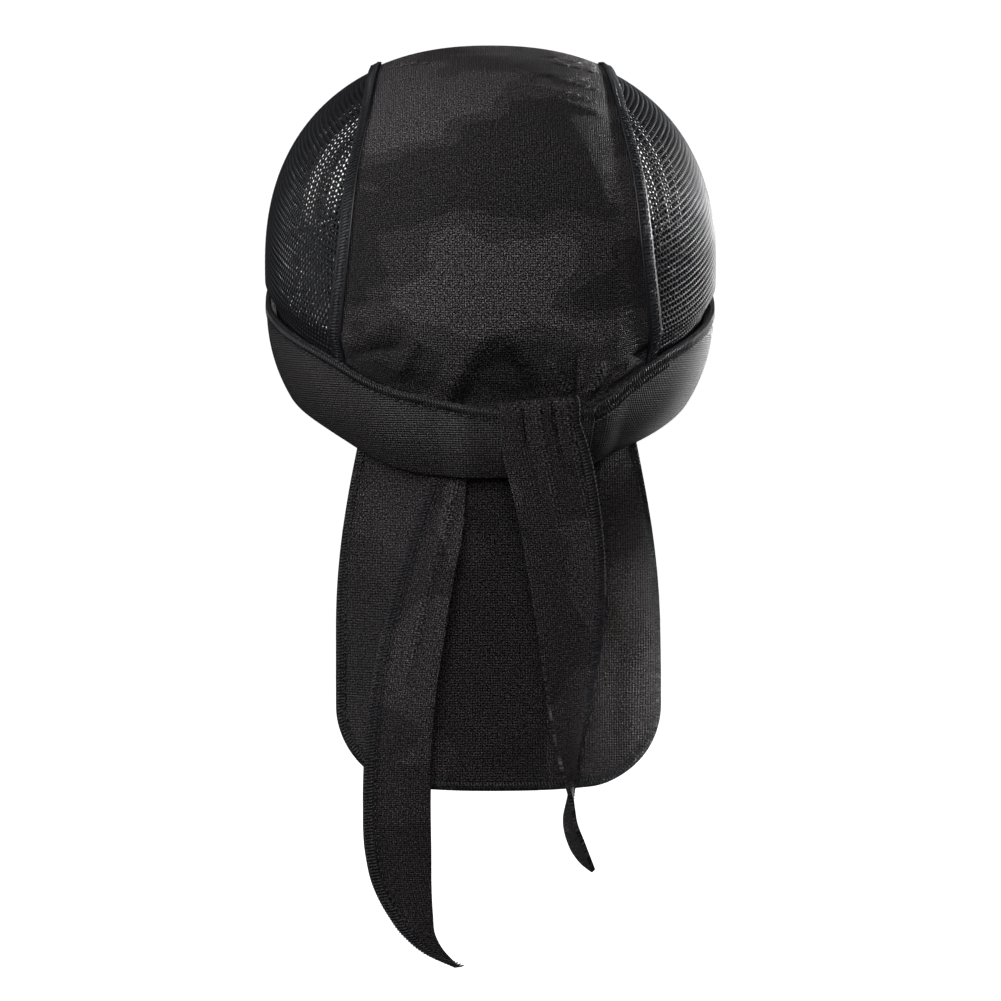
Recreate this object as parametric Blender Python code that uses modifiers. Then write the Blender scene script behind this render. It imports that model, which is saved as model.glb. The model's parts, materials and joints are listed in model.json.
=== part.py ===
"""A durag with mesh sides, a neck flap and its two ties knotted at the back.

The cloth keeps the form that a head gives it. The origin is the point inside the crown where the top
of the head touches, +Z is up, the wearer faces +Y, and +X is the wearer's right. Lengths are in metres.
"""

import math

import bpy
import numpy as np

# Head that the cloth is stretched over, measured from the level where it is widest
HEAD_HALF_WIDTH = 0.0836
HEAD_BACK = 0.0975
HEAD_FRONT = 0.0950
HEAD_UP = 0.0805
HEAD_DOWN_SIDE = 0.0890
HEAD_DOWN_NAPE = 0.1150
HEAD_SQUARENESS = 2.28

# Cloth walls and the room between one layer and the next
PANEL_WALL = 0.0012
MESH_WALL = 0.0011
SEAM_WALL = 0.0010
BAND_WALL = 0.0016
FLAP_WALL = 0.0012
TIE_WALL = 0.0016
LAYER_GAP = 0.0008
EDGE_GAP = 0.0006

# Crown panel between its two side seams
CROWN_HALF_WIDTH = 0.0540
SEAM_WIDTH = 0.0046
SEAM_CROWN = 0.0004
SEAM_CORNER_TUCK = 0.0022
PANEL_TUCK = 0.0090

# Band round the head: depth of its middle line below the widest level at the nape, and its height
BAND_NAPE_DEPTH = 0.0600
BAND_FRONT_RISE = 0.0130
BAND_HEIGHT = 0.0330
BAND_PINCH = 0.0034
BAND_BULGE = 0.0010
PINCH_RISE = 0.0110
PINCH_RISE_SIDE = 0.0080
FOLD_CLEAR = 0.0010

# Where the band's two ends pass over each other, as turns from the nape in degrees: the right end
# stops left of the nape, and the left end stops right of it after it has risen over the other
BAND_RIGHT_END = -5.0
BAND_LEFT_END = 21.0
OVERLAP_FULL = 22.0
OVERLAP_RAMP = 22.0

# Knot: where the front tie comes over the band, and the room that it takes behind it
KNOT_TURN = 9.5
KNOT_SPREAD = 30.0
KNOT_RAMP = 7.5
KNOT_LIFT = 0.0032
KNOT_TOP_RISE = 0.0030
KNOT_LOOP_DEPTH = 0.0038
OVERLAP_LIFT = 0.0028
TIE_BEHIND = 0.0130
TIE_BEHIND_STEP = 0.0028

# Pocket of the crown above the knot: the middle and the round top of its arch (degrees and a share of
# HEAD_DOWN_NAPE), how fast the arch falls for each degree, its reach to the sides, and its depth
POCKET_TURN = 0.9
POCKET_TOP = 0.176
POCKET_ROUND = 3.0
POCKET_FALL = 0.024
POCKET_SOFT = 0.0170
POCKET_REACH = 21.0
POCKET_DEPTH = 0.0050

# Folds fade in from their start and out at their reach, in shares of their length
CROWN_FOLD_FADE = 0.35
CROWN_FOLD_REACH = 1.25
FLAP_FOLD_START = 0.25
FLAP_FOLD_END = 0.70
FLAP_FOLD_REACH = 1.20

# Neck flap
FLAP_HALF_WIDTH = 0.0578
FLAP_OFFSET = 0.0013
FLAP_TOP_SHARE = 0.845
FLAP_WIDEST_DROP = 0.55
FLAP_BOTTOM = 0.2670
FLAP_CORNER_RADIUS = 0.0255
FLAP_BOTTOM_SAG = 0.0040
FLAP_FLARE = 0.0030
FLAP_SIDE_CURVE = 0.0300
FLAP_FOOT_CURVE = 0.0110
FLAP_SIDE_POWER = 2.3
NAPE_SIDE_LEAST = 0.05
FLAP_EASING = 0.0350
FLAP_FOLD_RISE = 0.0045

# Ties: each tip is measured down from the origin, and each sway from where the tie starts
REAR_TIE_TURN = 10.6
REAR_TIE_COVER = 0.0120
REAR_TIE_TIP = 0.3283
REAR_TIE_WIDTH = 0.0240
REAR_TIE_SWAY = 0.0207
FRONT_TIE_TURN = 8.8
FRONT_TIE_TIP = 0.2945
FRONT_TIE_WIDTH = 0.0300
FRONT_TIE_SWAY = 0.0188
TIE_STANDOFF = 0.0070
TIE_DISH = 0.035

# Numbers of faces along and across the pieces
CROWN_ROWS = 40
CROWN_COLUMNS = 16
SIDE_ROWS = 24
SIDE_COLUMNS = 12
SEAM_ROWS = 34
BAND_COLUMNS = 92
BAND_ROWS = 4
FLAP_ROWS = 17
FLAP_COLUMNS = 16
LOOP_START_ROWS = 3
LOOP_ROWS = 9
TIE_ROWS = 36
TIE_COLUMNS = 5
END_CROWDING = 0.5

# Searches: halvings of a range, repeats of a fit, and the angles over the head that hold the crown's end
HALVINGS = 40
REPEATS = 12
CROWN_END_LEAST = 50.0
CROWN_END_MOST = 150.0

# Angle from straight up over the head towards the back, and the share of CROWN_HALF_WIDTH there
SEAM_LINE = {
    "angle": (-120, -90, -60, -20, 0, 23, 50, 67, 88, 105, 130),
    "width": (0.96, 0.92, 0.87, 0.79, 0.77, 0.785, 0.845, 0.925, 0.99, 1.04, 1.10),
}

# Turn from the nape to the wearer's right in degrees, the band's middle line as a share of
# BAND_NAPE_DEPTH (up to the front as a share of BAND_FRONT_RISE), and the share of BAND_HEIGHT
BAND_LINE = {
    "turn": (-180, -172, -150, -120, -90, -70, -50, -38, -26, -12, 0, 12, 20, 30, 40, 54, 70, 90, 120,
             150, 172, 180),
    "depth": (0, 0.005, 0.10, 0.28, 0.47, 0.57, 0.695, 0.80, 0.92, 0.99, 1.02, 1.01, 1, 0.88, 0.78, 0.68,
              0.58, 0.47, 0.28, 0.10, 0.005, 0),
    "rise": (1, 0.98, 0.58, 0.08, 0, 0, 0, 0, 0, 0, 0, 0, 0, 0, 0, 0, 0, 0, 0.08, 0.58, 0.98, 1),
    "height": (1, 1, 1, 1, 1, 0.98, 0.96, 0.96, 0.90, 0.82, 0.73, 0.67, 0.66, 0.77, 0.92, 0.96,
               0.98, 1, 1, 1, 1, 1),
}

# Folds of the crown panel above the band: each runs from one place to another (turn in degrees,
# height as a share of HEAD_DOWN_NAPE), with its half width and its rise in shares of PINCH_RISE
CROWN_FOLDS = {
    "turn_from": (-31, -27, -14, 8, 15, 26, 33),
    "height_from": (-0.14, -0.26, -0.35, -0.24, -0.30, -0.26, -0.20),
    "turn_to": (-12, -6, 8, 13, 16, 17, 24),
    "height_to": (-0.33, -0.37, -0.39, -0.42, -0.44, -0.43, -0.38),
    "half_width": (0.42, 0.40, 0.45, 0.34, 0.32, 0.34, 0.36),
    "rise": (0.13, 0.11, 0.16, 0.22, 0.17, 0.18, 0.13),
}

# Folds of the neck flap: side place as a share of FLAP_HALF_WIDTH at its top and foot, the width of
# the fold as a share of FLAP_HALF_WIDTH, its rise as a share of FLAP_FOLD_RISE
FLAP_FOLDS = {
    "side_top": (-0.72, -0.10, 0.58, 0.94),
    "side_foot": (-0.66, 0.06, 0.98, 1.04),
    "width": (0.22, 0.30, 0.17, 0.12),
    "rise": (0.45, -0.60, 1.00, -0.55),
}

# Rear tie by the share of its drop: how far its middle line has swayed to the left (share of
# REAR_TIE_SWAY), width (share of REAR_TIE_WIDTH), distance out from the flap (share of TIE_STANDOFF)
# and turn of the ribbon in degrees
REAR_TIE = {
    "drop": (0.0, 0.08, 0.18, 0.26, 0.35, 0.475, 0.57, 0.69, 0.79, 0.85, 0.905, 0.945, 0.975, 1.0),
    "sway": (0.0, 0.12, 0.31, 0.50, 0.68, 0.88, 0.965, 1.0, 0.975, 0.91, 0.77, 0.61, 0.36, -0.01),
    "width": (0.56, 0.57, 0.79, 0.87, 0.94, 0.985, 0.99, 1.0, 0.975, 0.87, 0.67, 0.47, 0.30, 0.03),
    "out": (0.0, 0.16, 0.72, 0.86, 0.90, 0.86, 0.80, 0.70, 0.62, 0.60, 0.60, 0.60, 0.60, 0.60),
    "turn": (-12, -12, -16, -17, -15, -12, -9, -7, -7, -8, -8, -8, -8, -8),
}

# Front tie below the band's top, with the same columns; the sway goes to the right, and the ribbon
# turns over once, near its foot
FRONT_TIE = {
    "drop": (0.0, 0.07, 0.17, 0.25, 0.36, 0.46, 0.55, 0.635, 0.74, 0.84, 0.89, 0.93, 0.965, 0.99, 1.0),
    "sway": (0.0, 0.12, 0.31, 0.425, 0.53, 0.58, 0.58, 0.57, 0.555, 0.575, 0.57, 0.665, 0.79, 0.925, 1.0),
    "width": (0.94, 1.03, 1.0, 0.97, 0.91, 0.83, 0.74, 0.66, 0.56, 0.44, 0.37, 0.32, 0.24, 0.11, 0.02),
    "out": (1.0, 1.05, 1.0, 0.88, 0.70, 0.56, 0.47, 0.40, 0.33, 0.27, 0.23, 0.20, 0.18, 0.16, 0.16),
    "turn": (8, 8, 8, 10, 15, 22, 31, 43, 63, 92, 108, 120, 127, 131, 132),
}

# Colours of the cloths
CLOTH_BROWN_BLACK = (0.022, 0.019, 0.017)
CLOTH_BAND = (0.030, 0.026, 0.023)
THREAD_BLUE_BLACK = (0.012, 0.013, 0.017)
MESH_BLUE_BLACK = (0.016, 0.017, 0.021)


def table_value(table, key, column, at):
    """Smooth value of a table's column: cubic pieces whose slopes come from the neighbouring rows."""
    places = np.asarray(table[key], float)
    values = np.asarray(table[column], float)
    slopes = np.gradient(values, places)
    at = np.clip(np.asarray(at, float), places[0], places[-1])
    row = np.clip(np.searchsorted(places, at, side="right") - 1, 0, len(places) - 2)
    span = places[row + 1] - places[row]
    s = (at - places[row]) / span
    return ((1 + 2 * s) * (1 - s) ** 2 * values[row] + s * (1 - s) ** 2 * span * slopes[row]
            + s * s * (3 - 2 * s) * values[row + 1] + s * s * (s - 1) * span * slopes[row + 1])


def eased(share):
    """Smooth step from 0 to 1."""
    share = np.clip(share, 0.0, 1.0)
    return share * share * (3 - 2 * share)


def band_middle(turn):
    """Height of the band's middle line, from the head's widest level, at a turn from the nape."""
    degrees = (np.degrees(turn) + 180.0) % 360.0 - 180.0
    depth = table_value(BAND_LINE, "turn", "depth", degrees)
    rise = table_value(BAND_LINE, "turn", "rise", degrees)
    return rise * BAND_FRONT_RISE - depth * BAND_NAPE_DEPTH


def band_half_height(turn):
    """Half of the band's height at a turn from the nape."""
    degrees = (np.degrees(turn) + 180.0) % 360.0 - 180.0
    return table_value(BAND_LINE, "turn", "height", degrees) * BAND_HEIGHT / 2


def band_top(turn):
    """Height of the band's upper edge at a turn from the nape."""
    return band_middle(turn) + band_half_height(turn)


def level(height, lift, nape):
    """Share of the head's widest section that is left at a height, on its side or at its back."""
    down = HEAD_DOWN_NAPE if nape else HEAD_DOWN_SIDE
    reach = np.where(height > 0, HEAD_UP, down) + lift
    rest = 1 - np.clip(np.abs(height) / reach, 0.0, 0.9999) ** HEAD_SQUARENESS
    return rest ** (1 / HEAD_SQUARENESS)


def pinch(turn, height):
    """How far the tight band draws the cloth in: nothing well above it, all of it below its top."""
    rise = PINCH_RISE_SIDE + (PINCH_RISE - PINCH_RISE_SIDE) * eased(np.abs(np.cos(turn)))
    return BAND_PINCH * eased((band_top(turn) + rise - height) / rise)


def plan_radius(turn, height, lift):
    """Distance from the head's axis to the cloth, at a turn and a height, with a lift off the head."""
    drawn = lift - pinch(turn, height)
    side = (HEAD_HALF_WIDTH + drawn) * level(height, lift, False)
    depth = np.where(np.cos(turn) > 0, HEAD_BACK, HEAD_FRONT) + drawn
    depth = depth * np.where(np.cos(turn) > 0, level(height, lift, True), level(height, lift, False))
    across_part = (np.abs(np.sin(turn)) / side) ** HEAD_SQUARENESS
    back_part = (np.abs(np.cos(turn)) / depth) ** HEAD_SQUARENESS
    return (across_part + back_part) ** (-1 / HEAD_SQUARENESS)


def place(turn, height, lift):
    """World point at a turn from the nape, a height from the widest level and a lift off the head."""
    turn, height, lift = np.broadcast_arrays(turn, height, lift)
    radius = plan_radius(turn, height, lift)
    return np.stack([radius * np.sin(turn), -radius * np.cos(turn), height - HEAD_UP], axis=-1)


def along_ray(direction, lift):
    """Turn and height where a ray from the middle of the head meets the cloth, found by halving."""
    direction = direction / np.linalg.norm(direction, axis=-1, keepdims=True)
    turn = np.arctan2(direction[..., 0], -direction[..., 1])
    across = np.hypot(direction[..., 0], direction[..., 1])
    near = np.zeros(turn.shape)
    far = np.full(turn.shape, 2 * HEAD_BACK)
    for _ in range(HALVINGS):
        middle = (near + far) / 2
        height = middle * direction[..., 2]
        top = HEAD_UP + lift
        inside = (height < top) & (middle * across < plan_radius(turn, np.minimum(height, top), lift))
        near = np.where(inside, middle, near)
        far = np.where(inside, far, middle)
    return turn, near * direction[..., 2]


def crown_direction(share, angle):
    """Direction to the crown at a share of its half width, at an angle over the head."""
    half = share * table_value(SEAM_LINE, "angle", "width", np.degrees(angle)) * CROWN_HALF_WIDTH
    rest = (1 - (np.abs(half) / HEAD_HALF_WIDTH) ** HEAD_SQUARENESS) ** (1 / HEAD_SQUARENESS)
    depth = np.where(angle > 0, HEAD_BACK, HEAD_FRONT)
    down = np.where(angle > 0, HEAD_DOWN_NAPE, HEAD_DOWN_SIDE)
    tall = np.where(np.cos(angle) > 0, HEAD_UP, down)
    total = ((np.abs(np.sin(angle)) / depth) ** HEAD_SQUARENESS
             + (np.abs(np.cos(angle)) / tall) ** HEAD_SQUARENESS) ** (-1 / HEAD_SQUARENESS)
    return np.stack([half, -rest * total * np.sin(angle), rest * total * np.cos(angle)], axis=-1)


def crown_end(share, back, tuck):
    """Angle over the head at which the crown is a tuck below the band's top line, found by halving."""
    sign = 1.0 if back else -1.0
    near = np.full(np.shape(share), math.radians(CROWN_END_LEAST))
    far = np.full(np.shape(share), math.radians(CROWN_END_MOST))
    for _ in range(HALVINGS):
        middle = (near + far) / 2
        turn, height = along_ray(crown_direction(share, sign * middle), 0.0)
        above = height > band_top(turn) - tuck
        near = np.where(above, middle, near)
        far = np.where(above, far, middle)
    return sign * near


def fold_rise(turn, height):
    """How far the crown's folds stand out, each a ridge along its line, less the pocket above the knot."""
    rise = np.zeros(np.broadcast(turn, height).shape)
    arc = turn * HEAD_BACK
    for row in range(len(CROWN_FOLDS["rise"])):
        fold = {name: values[row] for name, values in CROWN_FOLDS.items()}
        arc_from = math.radians(fold["turn_from"]) * HEAD_BACK
        height_from = fold["height_from"] * HEAD_DOWN_NAPE
        arc_run = math.radians(fold["turn_to"]) * HEAD_BACK - arc_from
        height_run = fold["height_to"] * HEAD_DOWN_NAPE - height_from
        reach = math.hypot(arc_run, height_run)
        share = ((arc - arc_from) * arc_run + (height - height_from) * height_run) / reach ** 2
        aside = ((arc - arc_from) * height_run - (height - height_from) * arc_run) / reach
        profile = np.exp(-(aside / (fold["half_width"] * PINCH_RISE)) ** 2)
        ends = eased(share / CROWN_FOLD_FADE) * eased((CROWN_FOLD_REACH - share) / CROWN_FOLD_FADE)
        rise = rise + fold["rise"] * PINCH_RISE * profile * ends
    rise = rise * eased((height - band_top(turn) - FOLD_CLEAR) / PINCH_RISE)
    aside = np.degrees(turn) - POCKET_TURN
    arch = POCKET_TOP + POCKET_FALL * (np.hypot(aside, POCKET_ROUND) - POCKET_ROUND)
    sunk = eased((-arch * HEAD_DOWN_NAPE - height) / POCKET_SOFT) * np.exp(-(aside / POCKET_REACH) ** 4)
    return rise - POCKET_DEPTH * sunk * eased((height - band_top(turn) + PANEL_TUCK) / PANEL_TUCK)


def cloth_piece(name, points, wall, material):
    """Sheet of cloth through a grid of points, given its wall by a Solidify modifier."""
    rows, columns = points.shape[:2]
    index = np.arange(rows * columns).reshape(rows, columns)
    faces = np.stack([index[:-1, :-1], index[:-1, 1:], index[1:, 1:], index[1:, :-1]], axis=-1)
    mesh = bpy.data.meshes.new(name)
    mesh.from_pydata(points.reshape(-1, 3).tolist(), [], faces.reshape(-1, 4).tolist())
    mesh.validate()
    mesh.shade_smooth()
    mesh.materials.append(material)
    piece = bpy.data.objects.new(name, mesh)
    collection.objects.link(piece)
    piece.parent = seat
    solidify = piece.modifiers.new("wall", "SOLIDIFY")
    solidify.thickness = wall
    solidify.offset = 1.0
    solidify.use_even_offset = True
    return piece


def fabric(name, colour, roughness, sheen):
    """Cloth material in one plain colour."""
    material = bpy.data.materials.new(name)
    material.use_nodes = True
    shader = material.node_tree.nodes["Principled BSDF"]
    shader.inputs["Base Color"].default_value = (*colour, 1)
    shader.inputs["Roughness"].default_value = roughness
    shader.inputs["Metallic"].default_value = 0.0
    shader.inputs["Sheen Weight"].default_value = sheen
    return material


def add_crown():
    """Centre panel from under the band at the forehead, over the head, to under it at the nape."""
    share = np.linspace(-1, 1, CROWN_COLUMNS + 1)
    edge = EDGE_GAP / CROWN_HALF_WIDTH
    share = share * (1 - edge)
    front = crown_end(share, False, PANEL_TUCK)
    back = crown_end(share, True, PANEL_TUCK)
    row = np.linspace(0, 1, CROWN_ROWS + 1)[:, None]
    row = row - END_CROWDING * np.sin(2 * np.pi * row) / (2 * np.pi)
    angle = back + (front - back) * row
    turn, height = along_ray(crown_direction(np.broadcast_to(share, angle.shape), angle), 0.0)
    points = place(turn, height, fold_rise(turn, height))
    return cloth_piece("crown_panel", points, PANEL_WALL, brown_black)


def seam_ends(tuck):
    """Angles over the head between which a seam runs, down to a tuck below the band's top line."""
    one = np.array([1.0])
    return crown_end(one, False, tuck)[0], crown_end(one, True, tuck)[0]


def add_side(name, side):
    """Mesh side panel: ruled from its seam down to its edge under the band, then laid on the head."""
    front, back = seam_ends(SEAM_CORNER_TUCK)
    row = np.linspace(0, 1, SIDE_ROWS + 1)[:, None]
    angle = front + (back - front) * row
    clear = 1 + EDGE_GAP / CROWN_HALF_WIDTH
    seam = crown_direction(np.full(angle.shape, clear), angle)
    corners = crown_direction(clear * np.ones(2), np.array(seam_ends(PANEL_TUCK)))
    corner_turns = np.arctan2(corners[:, 0], -corners[:, 1])
    turn = corner_turns[0] + (corner_turns[1] - corner_turns[0]) * row
    edge = place(turn, band_top(turn) - PANEL_TUCK, 0.0) + np.array([0, 0, HEAD_UP])
    column = np.linspace(0, 1, SIDE_COLUMNS + 1)[None, :, None]
    column = column + END_CROWDING * column * (1 - column)
    seam_way = seam / np.linalg.norm(seam, axis=-1, keepdims=True)
    edge_way = edge / np.linalg.norm(edge, axis=-1, keepdims=True)
    direction = seam_way + (edge_way - seam_way) * column
    direction[..., 0] *= side
    turn, height = along_ray(direction, 0.0)
    points = place(turn, height, 0.0)
    if side > 0:
        points = points[::-1]
    return cloth_piece(name, points, MESH_WALL, mesh_black)


def add_seam(name, side):
    """Raised stitched seam over the edge between the crown and a mesh panel."""
    front, back = seam_ends(-SEAM_WIDTH / 2)
    angle = np.linspace(front, back, SEAM_ROWS + 1)[:, None]
    half = SEAM_WIDTH / 2 / CROWN_HALF_WIDTH
    share = 1 + np.linspace(-half, half, 3)[None, :]
    share, angle = np.broadcast_arrays(share * side, angle)
    turn, height = along_ray(crown_direction(share, angle), 0.0)
    lift = PANEL_WALL + LAYER_GAP + SEAM_CROWN * np.array([0.0, 1.0, 0.0]) + np.zeros(share.shape)
    points = place(turn, height, lift)
    if side > 0:
        points = points[::-1]
    return cloth_piece(name, points, SEAM_WALL, thread_black)


def band_lift(position):
    """Lift of the band off the head by its turn from the nape: the left end passes over the right."""
    under = PANEL_WALL + LAYER_GAP
    beyond = np.abs(position - KNOT_TURN) - KNOT_SPREAD / 2
    return under + KNOT_LIFT * eased(1 - beyond / KNOT_RAMP)


def add_band():
    """Band: from its left end, over the right one, round the forehead and back under the left end."""
    degrees = np.linspace(BAND_LEFT_END, BAND_RIGHT_END - 360, BAND_COLUMNS + 1)[None, :]
    turn = np.radians(degrees)
    row = np.linspace(1, -1, BAND_ROWS + 1)[:, None]
    over = eased((degrees + OVERLAP_FULL + OVERLAP_RAMP) / OVERLAP_RAMP)
    wrapped = (degrees + 180.0) % 360.0 - 180.0
    lift = band_lift(wrapped) + over * OVERLAP_LIFT
    bulge = BAND_BULGE * (1 - row ** 2)
    height = band_middle(turn) + band_half_height(turn) * row
    turn = np.broadcast_to(turn, height.shape)
    points = place(turn, height, lift + bulge)
    return cloth_piece("head_band", points, BAND_WALL, band_cloth)


def nape_depth(across, height):
    """Depth of the cloth on the head below the band's top, at a place across and a height."""
    half = (HEAD_HALF_WIDTH - BAND_PINCH) * level(height, 0.0, False)
    back = (HEAD_BACK - BAND_PINCH) * level(height, 0.0, True)
    inside = np.clip(1 - (np.abs(across) / half) ** HEAD_SQUARENESS, NAPE_SIDE_LEAST, 1)
    return back * inside ** (1 / HEAD_SQUARENESS)


def nape_line(across, drop_share):
    """Height at a place across the back: the panels' hidden edge (0) or the band's lower edge (1)."""
    depth = np.full(np.shape(across), HEAD_BACK)
    for _ in range(REPEATS):
        turn = np.arctan2(across, depth)
        hidden = band_top(turn) - PANEL_TUCK - EDGE_GAP
        lower = band_middle(turn) - band_half_height(turn)
        height = hidden + (lower - hidden) * drop_share
        depth = nape_depth(across, height)
    return height


def flap_depth(across, height):
    """Depth of the flap at a place across and a height: on the head under the band, then hanging."""
    edge = nape_line(across, 1.0)
    side = (across - FLAP_OFFSET) / FLAP_HALF_WIDTH
    nape = (HEAD_BACK - BAND_PINCH) * level(band_middle(0.0) - band_half_height(0.0), 0.0, True)
    drop = np.clip((edge - height) / (FLAP_BOTTOM - HEAD_UP - BAND_NAPE_DEPTH), 0, 1)
    curve = FLAP_SIDE_CURVE + (FLAP_FOOT_CURVE - FLAP_SIDE_CURVE) * eased(drop / FLAP_FOLD_END)
    hanging = nape + FLAP_FLARE - curve * np.abs(side) ** FLAP_SIDE_POWER
    held = nape_depth(across, np.maximum(height, edge))
    loose = eased((edge - height) / FLAP_EASING)
    depth = held + (hanging - held) * loose
    for row in range(len(FLAP_FOLDS["rise"])):
        fold = {name: values[row] for name, values in FLAP_FOLDS.items()}
        line = fold["side_top"] + (fold["side_foot"] - fold["side_top"]) * drop
        wave = np.exp(-((side - line) / fold["width"]) ** 2)
        ends = eased(drop / FLAP_FOLD_START) * eased((FLAP_FOLD_REACH - drop) / FLAP_FOLD_END)
        depth = depth + fold["rise"] * FLAP_FOLD_RISE * wave * ends
    return depth


def add_flap():
    """Neck flap: hangs from under the band, widens, and ends in two round corners."""
    spread = np.sin(np.linspace(math.pi / 2, -math.pi / 2, FLAP_COLUMNS + 1))[None, :]
    top = nape_line(FLAP_OFFSET + spread * FLAP_HALF_WIDTH * FLAP_TOP_SHARE, 0.0)
    corner = np.clip((np.abs(spread) - 1) * FLAP_HALF_WIDTH + FLAP_CORNER_RADIUS, 0, FLAP_CORNER_RADIUS)
    lifted = FLAP_CORNER_RADIUS - np.sqrt(FLAP_CORNER_RADIUS ** 2 - corner ** 2)
    bottom = HEAD_UP - FLAP_BOTTOM + lifted + FLAP_BOTTOM_SAG * spread ** 2
    row = np.linspace(0, 1, FLAP_ROWS + 1)[:, None]
    row = row - END_CROWDING * row * (1 - row)
    height = top + (bottom - top) * row
    drop = (-BAND_NAPE_DEPTH - height) / (FLAP_BOTTOM - HEAD_UP - BAND_NAPE_DEPTH)
    widening = np.sin(np.pi / 2 * np.clip(drop / FLAP_WIDEST_DROP, 0, 1))
    across = FLAP_OFFSET + spread * FLAP_HALF_WIDTH * (FLAP_TOP_SHARE + (1 - FLAP_TOP_SHARE) * widening)
    points = np.stack([across, -flap_depth(across, height), height - HEAD_UP], axis=-1)
    return cloth_piece("neck_flap", points, FLAP_WALL, flap_cloth)


def ribbon(centre, turn, width, dish):
    """Grid of a ribbon: a middle line, the turn of its flat side from the back, and its width."""
    across = np.linspace(0.5, -0.5, TIE_COLUMNS + 1)[None, :, None]
    side_way = np.stack([np.cos(turn), np.sin(turn), np.zeros_like(turn)], axis=-1)[:, None, :]
    out_way = np.stack([np.sin(turn), -np.cos(turn), np.zeros_like(turn)], axis=-1)[:, None, :]
    width = width[:, None, None]
    return centre[:, None, :] + side_way * across * width - out_way * 4 * dish * width * across ** 2


def add_rear_tie():
    """Rear tie: from behind the band's left end down over the flap to its point."""
    drop = np.linspace(0, 1, TIE_ROWS + 1)
    start = -math.radians(REAR_TIE_TURN)
    lower = band_middle(start) - band_half_height(start)
    first = plan_radius(start, lower, PANEL_WALL) * math.sin(start)
    side = first - table_value(REAR_TIE, "drop", "sway", drop) * REAR_TIE_SWAY
    width = table_value(REAR_TIE, "drop", "width", drop) * REAR_TIE_WIDTH
    out = table_value(REAR_TIE, "drop", "out", drop) * TIE_STANDOFF
    turn = np.radians(table_value(REAR_TIE, "drop", "turn", drop))
    top = lower + REAR_TIE_COVER
    height = top + (HEAD_UP - REAR_TIE_TIP - top) * drop
    held = np.clip(height, HEAD_UP - FLAP_BOTTOM, None)
    base = flap_depth(side, held) + FLAP_WALL + LAYER_GAP
    centre = np.stack([side, -(base + out), height - HEAD_UP], axis=-1)
    points = ribbon(centre, turn, width, TIE_DISH)
    return cloth_piece("rear_tie", points, TIE_WALL, flap_cloth)


def knot_loop():
    """Front tie's path up behind the band, over its top edge and to its front: radii and heights."""
    turn = np.radians(FRONT_TIE_TURN)
    top = band_top(turn)
    behind = PANEL_WALL + LAYER_GAP + TIE_WALL
    front = PANEL_WALL + KNOT_LIFT + OVERLAP_LIFT + BAND_WALL + BAND_BULGE + 2 * LAYER_GAP
    start = top - KNOT_LOOP_DEPTH
    low = np.linspace(top - TIE_BEHIND, start - TIE_BEHIND_STEP, LOOP_START_ROWS)
    swing = np.linspace(0, math.pi, LOOP_ROWS)
    over = start + (KNOT_LOOP_DEPTH + KNOT_TOP_RISE) * np.sin(swing)
    height = np.concatenate([low, over])
    lift = np.concatenate([np.full(low.shape, behind), behind + (front - behind) * (1 - np.cos(swing)) / 2])
    return plan_radius(turn, height, lift), height


def add_front_tie():
    """Front tie: up behind the band, over its top edge and down in front, with one turn at its foot."""
    loop_radius, loop_height = knot_loop()
    loop_depth = loop_radius * math.cos(math.radians(FRONT_TIE_TURN))
    loop_side = loop_radius * math.sin(math.radians(FRONT_TIE_TURN))
    drop = np.linspace(0, 1, TIE_ROWS + 1)[1:]
    side = loop_side[-1] + table_value(FRONT_TIE, "drop", "sway", drop) * FRONT_TIE_SWAY
    width = table_value(FRONT_TIE, "drop", "width", drop) * FRONT_TIE_WIDTH
    turn = np.radians(table_value(FRONT_TIE, "drop", "turn", drop))
    top = loop_height[-1] - HEAD_UP
    down = top + (-FRONT_TIE_TIP - top) * drop
    foot = loop_depth[-1] - TIE_STANDOFF
    depth = foot + table_value(FRONT_TIE, "drop", "out", drop) * TIE_STANDOFF
    hanging = np.stack([side, -depth, down], axis=-1)
    loop = np.stack([loop_side, -loop_depth, loop_height - HEAD_UP], axis=-1)
    held = np.ones(loop_depth.shape)
    centre = np.concatenate([loop, hanging])
    width = np.concatenate([held * FRONT_TIE["width"][0] * FRONT_TIE_WIDTH, width])
    turn = np.concatenate([held * np.radians(FRONT_TIE["turn"][0]), turn])
    points = ribbon(centre, turn, width, TIE_DISH)
    return cloth_piece("front_tie", points, TIE_WALL, flap_cloth)


for old in list(bpy.data.objects):
    bpy.data.objects.remove(old, do_unlink=True)

collection = bpy.data.collections.new("durag")
bpy.context.scene.collection.children.link(collection)
seat = bpy.data.objects.new("head_seat", None)
collection.objects.link(seat)

brown_black = fabric("crown_knit", CLOTH_BROWN_BLACK, 0.75, 0.2)
band_cloth = fabric("band_knit", CLOTH_BAND, 0.75, 0.2)
flap_cloth = fabric("flap_knit", CLOTH_BROWN_BLACK, 0.80, 0.2)
mesh_black = fabric("air_mesh", MESH_BLUE_BLACK, 0.65, 0.1)
thread_black = fabric("seam_thread", THREAD_BLUE_BLACK, 0.80, 0.1)

add_crown()
add_side("mesh_panel_left", -1)
add_side("mesh_panel_right", 1)
add_seam("seam_left", -1)
add_seam("seam_right", 1)
add_band()
add_flap()
add_rear_tie()
add_front_tie()
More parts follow.
